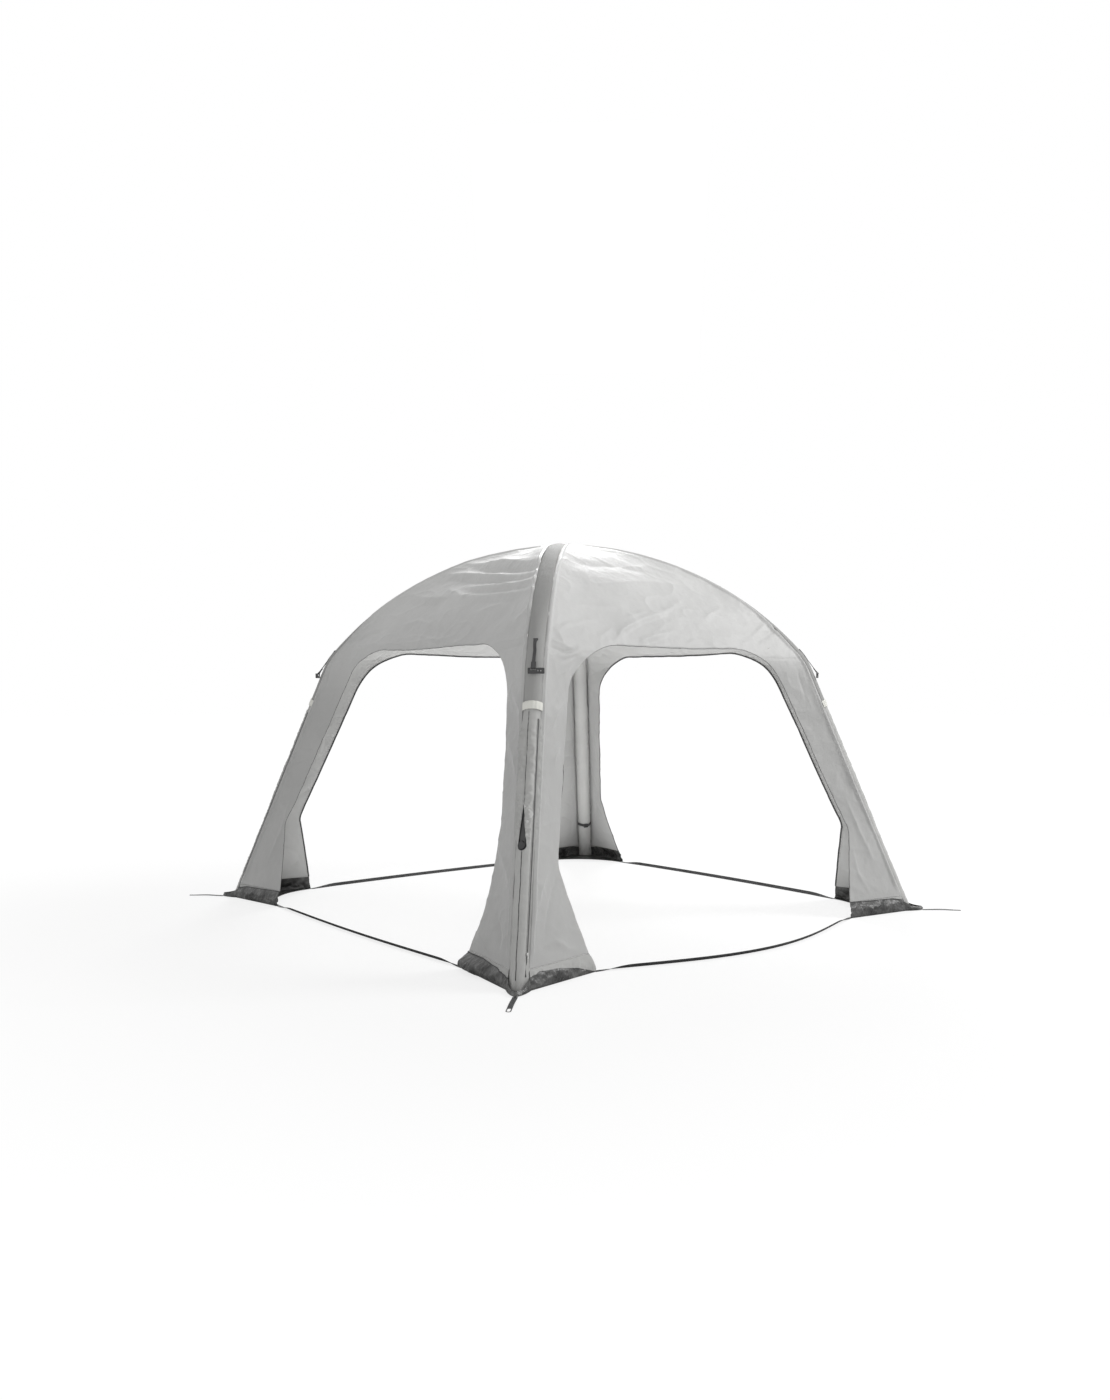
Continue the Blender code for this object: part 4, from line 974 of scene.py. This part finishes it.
def hidden_folds():
    """Tension folds from the shoulders and creases over the feet of the sides behind."""
    chance = np.random.default_rng(SEED)
    lines = []

    def lay(line, low, high, least, most):
        width = chance.uniform(low, high)
        out = chance.choice((-1, 1)) * chance.uniform(least, most)
        lines.append((turn_z(line if hand > 0 else mirrored(line), azimuth), width, out))

    for leg, azimuth in LEG_AZIMUTHS.items():
        for hand in (1, -1):
            if LEG_SIDES[leg][int(hand < 0)] in PHOTO_SIDES:
                continue
            for _ in range(9):
                height = chance.uniform(1.66, 2.1)
                start = chance.uniform(0.06, 0.2)
                reach = chance.uniform(0.15, 0.5) * (2.35 - height)
                fall = chance.uniform(-0.05, 0.07)
                steps = np.linspace(0, 1, 4)
                lay(skin(height + fall * steps, start + reach * steps), 0.014, 0.024, 0.003, 0.007)
            for _ in range(7):
                height = chance.uniform(0.2, 1.5)
                start = chance.uniform(0.02, 0.14)
                fall = chance.uniform(0.06, 0.2)
                steps = np.linspace(0, 1, 3)
                drift = chance.uniform(-0.03, 0.05)
                lay(skin(np.maximum(0.11, height - fall * steps), start + drift * steps),
                    0.011, 0.017, 0.003, 0.006)
    return lines


def doorway_points(points, doorways):
    """The doorway's edge of each side, from its left foot over the eave to its right foot."""
    return {side: np.concatenate([points[doorways[side, 1]], points[doorways[side, -1]][-2::-1]])
            for side in SIDE_AZIMUTHS}


def make_canopy():
    mesh, faces, panel, across, doorways = build_canopy()
    points = vertex_values(mesh, "co")
    relief = canopy_relief(points, panel, across)
    add_folds(points, faces, panel, relief)
    relief *= np.where(panel, smooth(points[:, 2], FLAP_TOP + 0.004, FLAP_TOP + 0.08), 1)
    out = vertex_values(mesh, "normal")
    mesh.vertices.foreach_set("co", (points + out * relief[:, None]).ravel())
    mesh.update()
    lines = doorway_points(vertex_values(mesh, "co"), doorways)
    with editing(mesh) as edit:
        bmesh.ops.remove_doubles(edit, verts=edit.verts, dist=0.0009)
    panels = ["roof_panel_" + side for side in SIDE_AZIMUTHS]
    panels += [f"leg_panel_{leg}_{side}" for leg in LEG_SIDES for side in LEG_SIDES[leg]]
    canopy = add("canopy", mesh, "roof cover", None, panels)
    thicken(canopy, "canopy")
    return lines, doorway_points(out, doorways)


# Frame of a leg


def leg_place(height, turn):
    """Origin on the leg's axis with its across, up and out directions, in the leg's frame."""
    out = np.array((LEG_NORMAL[0] * math.cos(turn), math.sin(turn),
                    LEG_NORMAL[1] * math.cos(turn)))
    up = -np.array((LEG_DOWN[0], 0, LEG_DOWN[1]))
    x, z = leg_axis(height)
    return np.array((x, 0, z)), np.cross(up, out), up, out


def ring_points(centre, normal, turn, radius):
    x = centre[..., 0] + normal[..., 0] * np.cos(turn) * radius
    z = centre[..., 1] + normal[..., 1] * np.cos(turn) * radius
    return np.stack([x, np.broadcast_to(np.sin(turn) * radius, x.shape), z], -1)


def on_leg(turn, height, radius):
    """Points at turns round the leg, heights of its axis and radii."""
    turn, height, radius = np.broadcast_arrays(turn, height, radius)
    return ring_points(leg_axis(height), LEG_NORMAL, turn, radius)


def on_rib(turn, run, radius):
    """Points at turns round the rib, lengths from the crown and radii."""
    return ring_points(*rib_along(run), turn, radius)


# Sleeves

# Turn, depth and half width of the grooves of the zip and of the valve's seam
GROOVES = [(ZIP_TURN, 0.0034, 0.011), (VALVE_TURN, 0.0022, 0.006)]


def sleeve_relief(points, turn, run, leg):
    """Puckers along the zip and the valve's seam, and the slack of the cloth between them."""
    seed = 20 + list(LEG_AZIMUTHS).index(leg)
    height = points[..., 2]
    slack = waves(points, 13.0, 3, seed)
    wide = waves(points * np.array((1, 1, 0.45)), 9.0, 2, seed + 5)
    crease = ridges(points, 17.0, seed + 9, 0.8) ** 3
    relief = 0.0012 * slack + 0.0016 * wide + 0.0022 * crease
    rumple = ridges(points, 23.0, seed + 13, 1.5) ** 2 + 0.7 * ridges(points, 41.0, seed + 17) ** 2
    bunched = smooth(height, 0.62, 0.74) * (1 - smooth(height, 1.16, 1.27))
    bunched = bunched * (1 - np.exp(-(np.abs(turn - ZIP_TURN) * SLEEVE_RADIUS / 0.0125) ** 6))
    relief += (0.0105 if leg == VALVE_SEAM else 0.002) * rumple * bunched
    seams = GROOVES if leg == VALVE_SEAM else GROOVES[:1]
    gather = 0.5 + 0.5 * np.sin(run * math.tau / 0.027 + 2.4 * wide + 3 * slack)
    for place, depth, half in seams:
        far = np.abs(turn - place) * SLEEVE_RADIUS
        pucker = 0.0028 * gather * np.exp(-((far - half - 0.009) / 0.009) ** 2)
        relief += pucker * smooth(height, 0.02, 0.08)
        groove = np.exp(-(far / half) ** 6)
        relief = relief * (1 - groove) - depth * groove
    band = smooth(height, BAND_LOW - 0.09, BAND_LOW - 0.02)
    gather = 0.5 + 0.5 * np.sin(turn * 21 + 4 * slack)
    relief += 0.0016 * gather * band * (1 - smooth(height, BAND_LOW - 0.02, BAND_LOW))
    relief += 0.0022 * (1 - smooth(height, 0.03, 0.13)) * np.sin(turn * 9 + 5 * wide)
    covered = smooth(height, BAND_LOW - 0.015, BAND_LOW)
    return relief * (1 - covered) + np.minimum(relief, 0) * 0.3 * covered - 0.0003 * covered


def sleeve_mesh(leg):
    columns = 44
    turn = np.linspace(-math.pi, math.pi, columns, endpoint=False)
    end = (ROOF_LENGTH + BEND_LENGTH + (LEG_TOP[1] - SLEEVE_LOW
           + LEG_NORMAL[1] * SLEEVE_RADIUS * np.cos(turn)) / math.cos(LEG_LEAN))
    share = np.linspace(0, 1, int(end.min() / (CELL * 0.8)))
    run = (share[:, None] * end.min() + SLEEVE_RADIUS * np.abs(np.sin(turn))
           * (1 - smooth(share * end.min(), 0, 0.16))[:, None]
           + (end - end.min()) * smooth(share, 0.93, 1)[:, None])
    relief = sleeve_relief(on_rib(turn, run, SLEEVE_RADIUS), turn[None, :], run, leg)
    points = on_rib(turn, run, SLEEVE_RADIUS + relief)
    points[..., 2] = np.maximum(points[..., 2], SLEEVE_LOW)
    uv = np.stack([np.broadcast_to(turn * SLEEVE_RADIUS, run.shape), run], -1)
    return mesh_from("sleeve", points, grid(len(share), columns, closed=True)[:, ::-1], uv)


def slit_outline(steps=48):
    """The pointed slit round the valve, as across and up from the valve's axis."""
    tangent = math.acos(SLIT_RADIUS / SLIT_LENGTH)
    turn = math.pi / 2 + tangent + np.linspace(0, math.tau - 2 * tangent, steps)
    ring = SLIT_RADIUS * np.stack([np.cos(turn), np.sin(turn)], -1)
    tip = np.array((0.0, SLIT_LENGTH))
    share = np.linspace(0, 1, steps)[1:-1, None]
    return np.concatenate([[tip], tip + (ring[0] - tip) * share, ring,
                           ring[-1] + (tip - ring[-1]) * share])


def slit_distance(across, up):
    """Distance to the slit's outline, negative inside it, and the nearest outline point."""
    outline = slit_outline()
    place = np.stack([across, up], -1)
    gap = np.linalg.norm(place[:, None] - outline[None], axis=-1)
    nearest = gap.argmin(1)
    tangent = math.acos(SLIT_RADIUS / SLIT_LENGTH)
    joint = SLIT_RADIUS * math.cos(tangent)
    half = np.where(up < joint, np.sqrt(np.maximum(0, SLIT_RADIUS ** 2 - up ** 2)),
                    (SLIT_LENGTH - up) * SLIT_RADIUS * math.sin(tangent) / (SLIT_LENGTH - joint))
    inside = (up > -SLIT_RADIUS) & (up < SLIT_LENGTH) & (np.abs(across) < half)
    return np.where(inside, -1, 1) * gap[np.arange(len(place)), nearest], outline[nearest]


def cut_slit(mesh):
    """Open the slit in a sleeve's mesh and put the edge of the opening on its outline."""
    origin, across, up, out = leg_place(VALVE_HEIGHT, VALVE_TURN)
    with editing(mesh) as edit:
        for _ in range(2):
            near = []
            for face in edit.faces:
                middle = np.array(face.calc_center_median()) - origin
                beside = middle @ out > 0 and abs(middle @ across) < 0.034
                if beside and -0.04 < middle @ up < 0.235:
                    near.append(face)
            edges = {edge for face in near for edge in face.edges}
            bmesh.ops.subdivide_edges(edit, edges=list(edges), cuts=1, use_grid_fill=True)
        edit.verts.ensure_lookup_table()
        local = np.array([vert.co[:] for vert in edit.verts]) - origin
        chosen = np.flatnonzero((local @ out > 0) & (np.abs(local @ across) < 0.05)
                                & (np.abs(local @ up - 0.1) < 0.16))
        gap = np.full(len(local), 1.0)
        target = np.zeros((len(local), 2))
        gap[chosen], target[chosen] = slit_distance(local[chosen] @ across, local[chosen] @ up)
        doomed = {face for face in edit.faces
                  if np.mean([gap[vert.index] for vert in face.verts]) < 0}
        rim = {vert for face in doomed for vert in face.verts
               if any(other not in doomed for other in vert.link_faces)}
        for vert in rim:
            a, u = target[vert.index]
            reach = math.sqrt(SLEEVE_RADIUS ** 2 - a * a) + SLIT_OUT
            vert.co = Vector(origin + across * a + up * u + out * reach)
        for index in chosen:
            if gap[index] > 0 and edit.verts[index] not in rim:
                lift = SLIT_OUT * math.exp(-(gap[index] / 0.010) ** 2)
                edit.verts[index].co += Vector(out * lift)
        bmesh.ops.delete(edit, geom=list(doomed), context="FACES")


def slit_trim():
    """The bound edge of the slit and the corner of the sleeve folded back beside it."""
    origin, across, up, out = leg_place(VALVE_HEIGHT, VALVE_TURN)
    outline = slit_outline()
    reach = np.sqrt(SLEEVE_RADIUS ** 2 - outline[:, 0] ** 2) + SLIT_OUT
    path = origin + across * outline[:, :1] + up * outline[:, 1:] + out * reach[:, None]
    binding = join("slit_binding", [tube(path, SLIT_CORD, closed=True)])
    add("slit_binding", binding, "tape", VALVE_SEAM)
    count = 15
    tip = np.array((0.001, SLIT_LENGTH))
    low = np.array((0.011, 0.092))
    free = np.array((0.045, 0.158))
    along, away = np.meshgrid(np.linspace(0, 1, count), np.linspace(0, 1, count), indexing="ij")
    away = away * (1 - np.abs(2 * along - 1) ** 1.5)
    place = (tip + (low - tip) * along[..., None] + (free - (tip + low) / 2) * away[..., None])
    lift = 0.0045 + 0.013 * away ** 1.6 + 0.0015 * np.sin(9 * along + 5 * away)
    points = on_leg(VALVE_TURN + place[..., 0] / SLEEVE_RADIUS * 0.92,
                    VALVE_HEIGHT + place[..., 1] * math.cos(LEG_LEAN), SLEEVE_RADIUS + lift)
    mesh = mesh_from("folded_corner", points, grid(count, count)[:, ::-1], place)
    flap = add("folded_corner", mesh, "fold", VALVE_SEAM)
    thicken(flap, "corner")


def valve_seam():
    """The gathered seam above and below the slit, a dark cord in its groove."""
    parts = []
    for high, low in ((BAND_LOW - 0.01, VALVE_HEIGHT + SLIT_LENGTH * math.cos(LEG_LEAN)),
                      (VALVE_HEIGHT - SLIT_RADIUS, 0.03)):
        height = np.arange(high, low, -0.006)
        sway = 0.02 * np.sin(height * 31) + 0.012 * np.sin(height * 83)
        depth = 0.0014 - 0.0006 * np.sin(height * 210)
        parts.append(tube(on_leg(VALVE_TURN + sway, height, SLEEVE_RADIUS - depth), SEAM_CORD))
    add("valve_seam", join("valve_seam", parts), "tape", VALVE_SEAM)


def make_sleeves():
    for leg in LEG_AZIMUTHS:
        mesh = sleeve_mesh(leg)
        if leg == VALVE_SEAM:
            cut_slit(mesh)
        sleeve = add("sleeve_" + leg, mesh, "sleeve", leg, ["beam_sleeve_" + leg])
        thicken(sleeve, "sleeve")
    slit_trim()
    valve_seam()


# White band, guy tab and zip


def make_bands():
    turn = np.radians(np.linspace(-62, 66, 60))
    share = np.linspace(0, 1, 11)
    height = BAND_HIGH - (BAND_HIGH - BAND_LOW) * share
    swell = 0.0009 * np.sin(math.pi * np.clip((share - 0.12) / 0.76, 0, 1)) ** 0.5
    swell[(share > 0.70) & (share < 0.83)] *= 0.35
    for number, leg in enumerate(LEG_AZIMUTHS):
        wave = 0.0008 * np.sin(turn * 17 + number) + 0.0006 * np.sin(turn * 41 + 2 * number)
        radius = COVER_RADIUS + 0.0026 + swell[:, None] + wave[None, :]
        points = on_leg(turn[None, :], height[:, None], radius)
        uv = np.stack(np.broadcast_arrays(share[:, None] * 0.0438, turn * SLEEVE_RADIUS), -1)
        mesh = mesh_from("white_band", points, grid(len(share), len(turn)), uv)
        band = add("white_band_" + leg, mesh, "band", leg, ["sleeve_band_" + leg])
        thicken(band, "band")


def tab_line():
    """Side view of the guy tab: sewn part, free part and the hem that turns round the bar."""
    leave = (ROOF_TURN + LEG_TURN) / 2
    lift = SLEEVE_RADIUS + CLEAR + WEBBING / 2
    first = ROOF_TURN - (TAB_SEWN - SHOULDER_RADIUS * (leave - ROOF_TURN)) / ROOF_RADIUS
    turns = np.concatenate([np.linspace(first, ROOF_TURN, 12),
                            np.linspace(ROOF_TURN, leave, 10)[1:]])
    centre, normal = rib_at(turns)
    free = leave - TAB_KICK
    way = np.array((math.cos(free), -math.sin(free)))
    side = np.array((math.sin(free), math.cos(free)))
    hem = RUNNER_BAR / ROOT + HEM_CLEAR + HEM_WALL
    end = (centre + normal * lift)[-1] + way * TAB_FREE
    bar = end + way * math.sqrt(hem ** 2 - (WEBBING / 2) ** 2)
    path = list(centre + normal * (lift + COVER + 0.0006))
    ring = RUNNER_BAR / ROOT + HEM_CLEAR + WEBBING / 2
    for back, out in ((0.085, 0.0016), (0.065, 0.0013), (0.045, 0.0011), (0.028, 0.0011),
                      (0.017, 0.0014), (0.009, 0.0027)):
        path.append(bar - way * back + side * out)
    for angle in np.radians(np.linspace(125, -125, 15)):
        path.append(bar + ring * (way * math.cos(angle) + side * math.sin(angle)))
    for back, out in ((0.009, 0.0027), (0.017, 0.0015), (0.028, 0.0011), (0.042, 0.0011)):
        path.append(bar - way * back - side * out)
    return np.array(path)


def make_tabs():
    line = tab_line()
    share = np.linspace(0, 1, len(line))
    narrow = 1 - 0.36 * smooth(share, 0.10, 0.32) * (1 - smooth(share, 0.48, 0.60))
    sway = 0.0022 * np.sin(share * 16) * smooth(share, 0.05, 0.2) * (1 - smooth(share, 0.4, 0.5))
    path = np.stack([line[:, 0], sway, line[:, 1]], -1)
    for leg in LEG_AZIMUTHS:
        mesh = mesh_from("guy_tab", *ribbon(path, (0, 1, 0), TAB_WIDTH, WEBBING * 0.9, narrow))
        add("guy_webbing_" + leg, mesh, "sewn", leg, ["guy_tab_" + leg])


def zip_parts():
    """Tape and coil of the sleeve's zip, in the leg's frame."""
    origin, across, up, out = leg_place(ZIP_LOW, ZIP_TURN)
    length = (ZIP_HIGH - ZIP_LOW) / math.cos(LEG_LEAN)
    base = SLEEVE_RADIUS * math.cos(FACET_TURN / 2) + CLEAR
    run = np.arange(0, length, 0.02)
    path = origin + up * run[:, None] + out * (base + 0.0004)
    pitch = 0.0024
    tooth = np.array([(a, b, c) for c in (0.0008, 0.0022) for b in (-0.0008, 0.0008)
                      for a in (-0.0026, 0.0026)])
    tooth[4:, 0] *= 0.8
    places = np.arange(0.003, length - 0.003, pitch)
    corners = (origin + up * places[:, None] + out * base)[:, None]
    points = corners + (tooth[:, :1] * across + tooth[:, 1:2] * up + tooth[:, 2:] * out)[None]
    quads = np.array([(0, 2, 3, 1), (4, 5, 7, 6), (0, 1, 5, 4), (2, 6, 7, 3), (0, 4, 6, 2),
                      (1, 3, 7, 5)])
    faces = (quads[None] + 8 * np.arange(len(places))[:, None, None]).reshape(-1, 4)
    coil = (points.reshape(-1, 3), faces, np.zeros((len(points) * 8, 2)))
    return ribbon(path, across, *ZIP_TAPE), coil


def make_zips():
    tape, coil = zip_parts()
    for leg in LEG_AZIMUTHS:
        add("zip_tape_" + leg, join("zip_tape", [tape]), "zip_cloth", leg,
            ["sleeve_zip_" + leg])
        teeth = join("zip_coil", [coil])
        teeth.shade_flat()
        add("zip_coil_" + leg, teeth, "coil", leg)


# Feet

# Where the dark sheet ends, as shares of the wing's width and heights, and its bulges
FLAP_EDGES = {
    ("front_left", 1): ((0, 0.060), (0.15, 0.078), (0.45, 0.070), (0.75, 0.044), (1, 0.004)),
    ("front_left", -1): ((0, 0.055), (0.25, 0.080), (0.6, 0.092), (1, 0.090)),
}
PLAIN_FLAP = ((0, 0.070), (0.2, 0.088), (1, 0.0945))
FLAP_BULGES = {("front_left", 1): (0.012, 0.35), ("front_left", -1): (0.050, 0.80)}
PLAIN_BULGE = (0.013, 0.5)


def flap_frame():
    """Bottom and top lines of the flap from its right end round the nose, with place numbers."""
    count = int(WING_AT_GROUND / (0.005))
    shares = np.linspace(1, 0.01, count)
    bottom = skin(np.full(count, FLAP_FOOT), shares * wing_width(FLAP_FOOT))
    bottom[:, 2] = FLAP_FOOT
    top = skin(np.full(count, FLAP_TOP), shares * wing_width(FLAP_TOP))
    root = LEG_TOP[0] + math.tan(LEG_LEAN) * LEG_TOP[1]
    nose_steps = 36
    turn = math.pi / 2 - math.pi * np.arange(1, nose_steps) / nose_steps
    x = np.cos(turn) ** NOSE_POINT * (NOSE_REACH - root)
    y = np.copysign(np.abs(np.sin(turn)) ** NOSE_POINT, np.sin(turn)) * NOSE_HALF_WIDTH
    out = np.stack([x, y, np.zeros_like(x)], -1)
    foot = np.array((root, 0, FLAP_FOOT)) + out
    tip = foot - unit(out) * NOSE_LEAN
    rise = (NOSE_SIDE_HEIGHT - NOSE_HEIGHT) * np.abs(np.sin(turn)) ** 6
    tip[:, 2] = FLAP_FOOT + (NOSE_HEIGHT + rise)
    bottoms = np.concatenate([bottom, foot, mirrored(bottom[::-1])])
    tops = np.concatenate([top, tip, mirrored(top[::-1])])
    place = np.concatenate([shares, np.zeros(len(turn)), -shares[::-1]])
    return bottoms, tops, place


def flap_mesh(leg):
    """The flap's mesh and the line of its piping, each point with its place number."""
    bottoms, tops, place = flap_frame()
    rows = 19
    edge = np.ones(len(place))
    bulge = np.zeros(len(place))
    for hand in (1, -1):
        run = place * hand
        mine = run > 0
        line = np.array(FLAP_EDGES.get((leg, hand), PLAIN_FLAP))
        edge[mine] = np.interp(run, line[:, 0], line[:, 1])[mine]
        size, middle = FLAP_BULGES.get((leg, hand), PLAIN_BULGE)
        hump = np.exp(-((run - middle) / 0.38) ** 2) * np.clip(run / 0.12, 0, 1)
        hump *= np.clip((1.0 - run) / 0.03, 0, 1) ** 0.5
        bulge[mine] = (size * hump)[mine]
    split = np.clip((edge - bottoms[:, 2]) / (tops[:, 2] - bottoms[:, 2]), 0.04, 0.97)
    knee = int(0.7 * rows)
    up = np.concatenate([np.linspace(0, 1, knee)[:, None] * split,
                         split + np.linspace(0, 1, rows - knee + 1)[1:, None] * (1 - split)])
    points = bottoms[None] * (1 - up[..., None]) + tops[None] * up[..., None]
    out = outward_of(bottoms)
    seed = 40 + list(LEG_AZIMUTHS).index(leg)
    crease = ridges(points, 15.0, seed, 1.6)
    fine = ridges(points, 37.0, seed + 3)
    sway = waves(points, 6.0, 2, seed + 6)
    belly = np.sin(math.pi * np.clip(up, 0, 1) ** 0.8)
    relief = belly * (bulge[None] + 0.011 * crease ** 2 + 0.0045 * fine ** 2 + 0.004 * sway)
    relief = np.maximum(relief + 0.0022 * sway * (1 - up), -0.0015) + 0.0018
    relief[-1] = -0.0003
    points = points + out[None] * relief[..., None]
    points[..., 2] = np.maximum(points[..., 2], BASE_THICKNESS + 0.0004)
    uv = np.stack([np.broadcast_to(run_along(bottoms), points.shape[:2]), points[..., 2]], -1)
    on_wing = np.abs(place) > 0
    groups = np.zeros((rows - 1, len(place) - 1), int)
    groups[knee - 1:, on_wing[:-1] & on_wing[1:]] = 1
    line = []
    for column in np.flatnonzero(on_wing):
        height = min(edge[column], FLAP_TOP - 0.001)
        side = points[:, column]
        spot = [np.interp(height, side[:, 2], side[:, axis]) for axis in range(3)]
        line.append((place[column], np.array(spot) + out[column] * 0.0016))
    faces = grid(rows, len(place))[:, ::-1]
    return mesh_from("mud_flap", points, faces, uv, groups.ravel()), line


def make_flaps():
    for leg in LEG_AZIMUTHS:
        mesh, line = flap_mesh(leg)
        flap = add("flap_sheet_" + leg, mesh, "pvc leg", leg, ["mud_flap_" + leg])
        thicken(flap, "flap")
        parts = []
        for hand in (-1,) if leg == VALVE_SEAM else (1, -1):
            path = np.array([spot for place, spot in line if place * hand > 0])
            parts.append(tube(resample(path, 0.008), PIPING[hand]))
        add("flap_piping_" + leg, join("flap_piping", parts), "tape", leg)


def hollow_line(count):
    """The base's hollow inner edge, from right to left."""
    right = strap_root(STRAP_WIDTH)
    chord = 2 * right[1]
    radius = (chord ** 2 / 4 + BASE_HOLLOW ** 2) / (2 * BASE_HOLLOW)
    reach = math.asin(chord / 2 / radius)
    turn = np.linspace(reach, -reach, count)
    x = right[0] + BASE_HOLLOW - radius * (1 - np.cos(turn))
    return np.stack([x, radius * np.sin(turn), np.zeros(count)], -1)


def make_bases():
    bottoms, _, _ = flap_frame()
    outer = bottoms + outward_of(bottoms) * FLAP_OUT
    rows = 34
    share = np.linspace(0, 1, rows)[:, None, None]
    plan = outer[None] * (1 - share) + hollow_line(len(outer))[None] * share
    for number, leg in enumerate(LEG_AZIMUTHS):
        place = plan + np.array((number * 3.1, 0, 0))
        crease = np.clip(0.0022 * ridges(place, 9.0, 60) + 0.0008 * ridges(place, 24.0, 61),
                         0, 0.004)
        points = plan.copy()
        points[..., 2] = 0.0022 + crease * np.sin(math.pi * share[..., 0]) ** 0.4
        mesh = mesh_from("base", points, grid(rows, len(outer)), points[..., :2])
        base = add("base_sheet_" + leg, mesh, "pvc", leg, ["foot_base_" + leg])
        thicken(base, "base")


def make_loops():
    """Pegging webbing at the nose of each foot, with its eye."""
    start = NOSE_REACH + 0.0035
    half = STRAP_HALF
    eye = PEG_EYE_HALF_WIDTH

    def arc(x, radius, first, last):
        return [(x + radius * math.cos(turn), radius * math.sin(turn))
                for turn in np.radians(np.linspace(first, last, 17))]

    outer = [(start, -half), *arc(PEG_REACH, half, -90, 90), (start, half)]
    inner = arc(PEG_REACH, eye, -90, 90) + arc(PEG_REACH - PEG_EYE_LENGTH, eye, 90, 270)
    curve = bpy.data.curves.new("peg_webbing", "CURVE")
    curve.dimensions = "2D"
    curve.fill_mode = "BOTH"
    curve.extrude = WEBBING / 2 - CLEAR
    curve.bevel_depth = CLEAR
    curve.offset = -CLEAR
    for outline in (outer, inner):
        spline = curve.splines.new("POLY")
        spline.points.add(len(outline) - 1)
        spline.use_cyclic_u = True
        for point, spot in zip(spline.points, outline):
            point.co = (*spot, 0, 1)
    holder = place_object("holder", curve)
    graph = bpy.context.evaluated_depsgraph_get()
    mesh = bpy.data.meshes.new_from_object(holder.evaluated_get(graph))
    bpy.data.objects.remove(holder)
    with editing(mesh) as edit:
        bmesh.ops.remove_doubles(edit, verts=edit.verts, dist=0.00001)
        for x in np.arange(start + 0.006, PEG_REACH + half, 0.006):
            bmesh.ops.bisect_plane(edit, geom=edit.verts[:] + edit.edges[:] + edit.faces[:],
                                   plane_co=(x, 0, 0), plane_no=(1, 0, 0))
        layer = edit.loops.layers.uv.new("metres")
        for face in edit.faces:
            for corner in face.loops:
                corner[layer].uv = (corner.vert.co.y, corner.vert.co.x)
        for vert in edit.verts:
            share = min(1, max(0, (vert.co.x - start) / (PEG_REACH - start)))
            vert.co.z += WEBBING / 2 + CLEAR + 0.0035 * math.sin(math.pi * share) ** 2
    for leg in LEG_AZIMUTHS:
        add("peg_webbing_" + leg, mesh.copy(), "sewn", leg, ["peg_loop_" + leg])


def make_inner_trim():
    """Cords where the panels meet the sleeves, seen from inside, and one leg's strap."""
    height = np.arange(SPLIT_HEIGHT - 0.06, FLAP_TOP, -0.02)
    sway = 0.012 * np.sin(height * 23)
    mesh = join("inner_piping", [
        tube(on_leg(math.radians(turn) + sway, height, SLEEVE_RADIUS + 0.0012), INNER_CORD)
        for turn in (74, -74)])
    for leg in LEG_AZIMUTHS:
        add("inner_piping_" + leg, mesh.copy(), "tape", leg)
    turn = np.radians(np.linspace(84, 276, 40))
    path = on_leg(turn, LEG_STRAP_HEIGHT + 0.004 * np.sin(3 * turn), SLEEVE_RADIUS + 0.0042)
    origin, across, up, out = leg_place(LEG_STRAP_HEIGHT, math.radians(196))
    strap = mesh_from("leg_strap", *ribbon(path, up, STRAP_WIDTH, 0.0018))
    add("leg_strap", strap, "sewn", STRAPPED_LEG)
    buckle = bpy.data.meshes.new("buckle")
    matrix = Matrix((across, up, out)).transposed().to_4x4()
    matrix.translation = origin + out * (SLEEVE_RADIUS + 0.0085)
    with editing(buckle) as edit:
        bmesh.ops.create_cube(edit, size=1)
        bmesh.ops.scale(edit, verts=edit.verts, vec=BUCKLE)
        bmesh.ops.bevel(edit, geom=edit.edges[:], offset=0.0016, segments=2, affect="EDGES")
        bmesh.ops.transform(edit, matrix=matrix, verts=edit.verts)
    buckle.shade_smooth()
    buckle.set_sharp_from_angle(angle=math.radians(40))
    add("leg_strap_buckle", buckle, "plastic", STRAPPED_LEG)


# Tape on the doorway edges


def make_door_tapes(lines, outwards):
    for side, line in lines.items():
        across = np.cross(outwards[side], unit(np.gradient(line, axis=0)))
        if np.median(np.sign(((line - line.mean(0)) * across).sum(1))) < 0:
            across = -across
        path = line - outwards[side] * 0.0026 + across * 0.0036
        parts = ribbon(path, across, *DOOR_TAPE)
        tape = add("doorway_tape_" + side, mesh_from("tape", *parts), "tape")


# Solid pieces

SOLID_LOOKS = {"line_runner": "plastic", "zip_slider": "metal", "air_beam": "film",
               "crown_joint": "film", "valve_body": "plastic", "valve_cap": "plastic",
               "valve_plunger": "white"}
EDGES = {"line_runner": 0.0008}
PLAIN_EDGE = 0.0004


def dress_solids():
    for item in list(bpy.context.scene.objects):
        kind = next((key for key in SOLID_LOOKS if item.name.startswith(key)), None)
        if kind is None or item.type != "MESH":
            continue
        item.data.materials.clear()
        item.data.materials.append(LOOKS[SOLID_LOOKS[kind]].material)
        if SOLID_LOOKS[kind] == "film":
            continue
        bevel = item.modifiers.new("edges", "BEVEL")
        bevel.width = EDGES.get(kind, PLAIN_EDGE)
        bevel.segments = 2
        bevel.limit_method = "ANGLE"
        bevel.angle_limit = math.radians(40)
        bevel.harden_normals = True


bpy.context.scene.view_settings.view_transform = "Standard"
make_camera()
make_looks()
make_straps()
make_stage()
doors = make_canopy()
make_sleeves()
make_bands()
make_tabs()
make_zips()
make_flaps()
make_bases()
make_loops()
make_inner_trim()
make_door_tapes(*doors)
dress_solids()
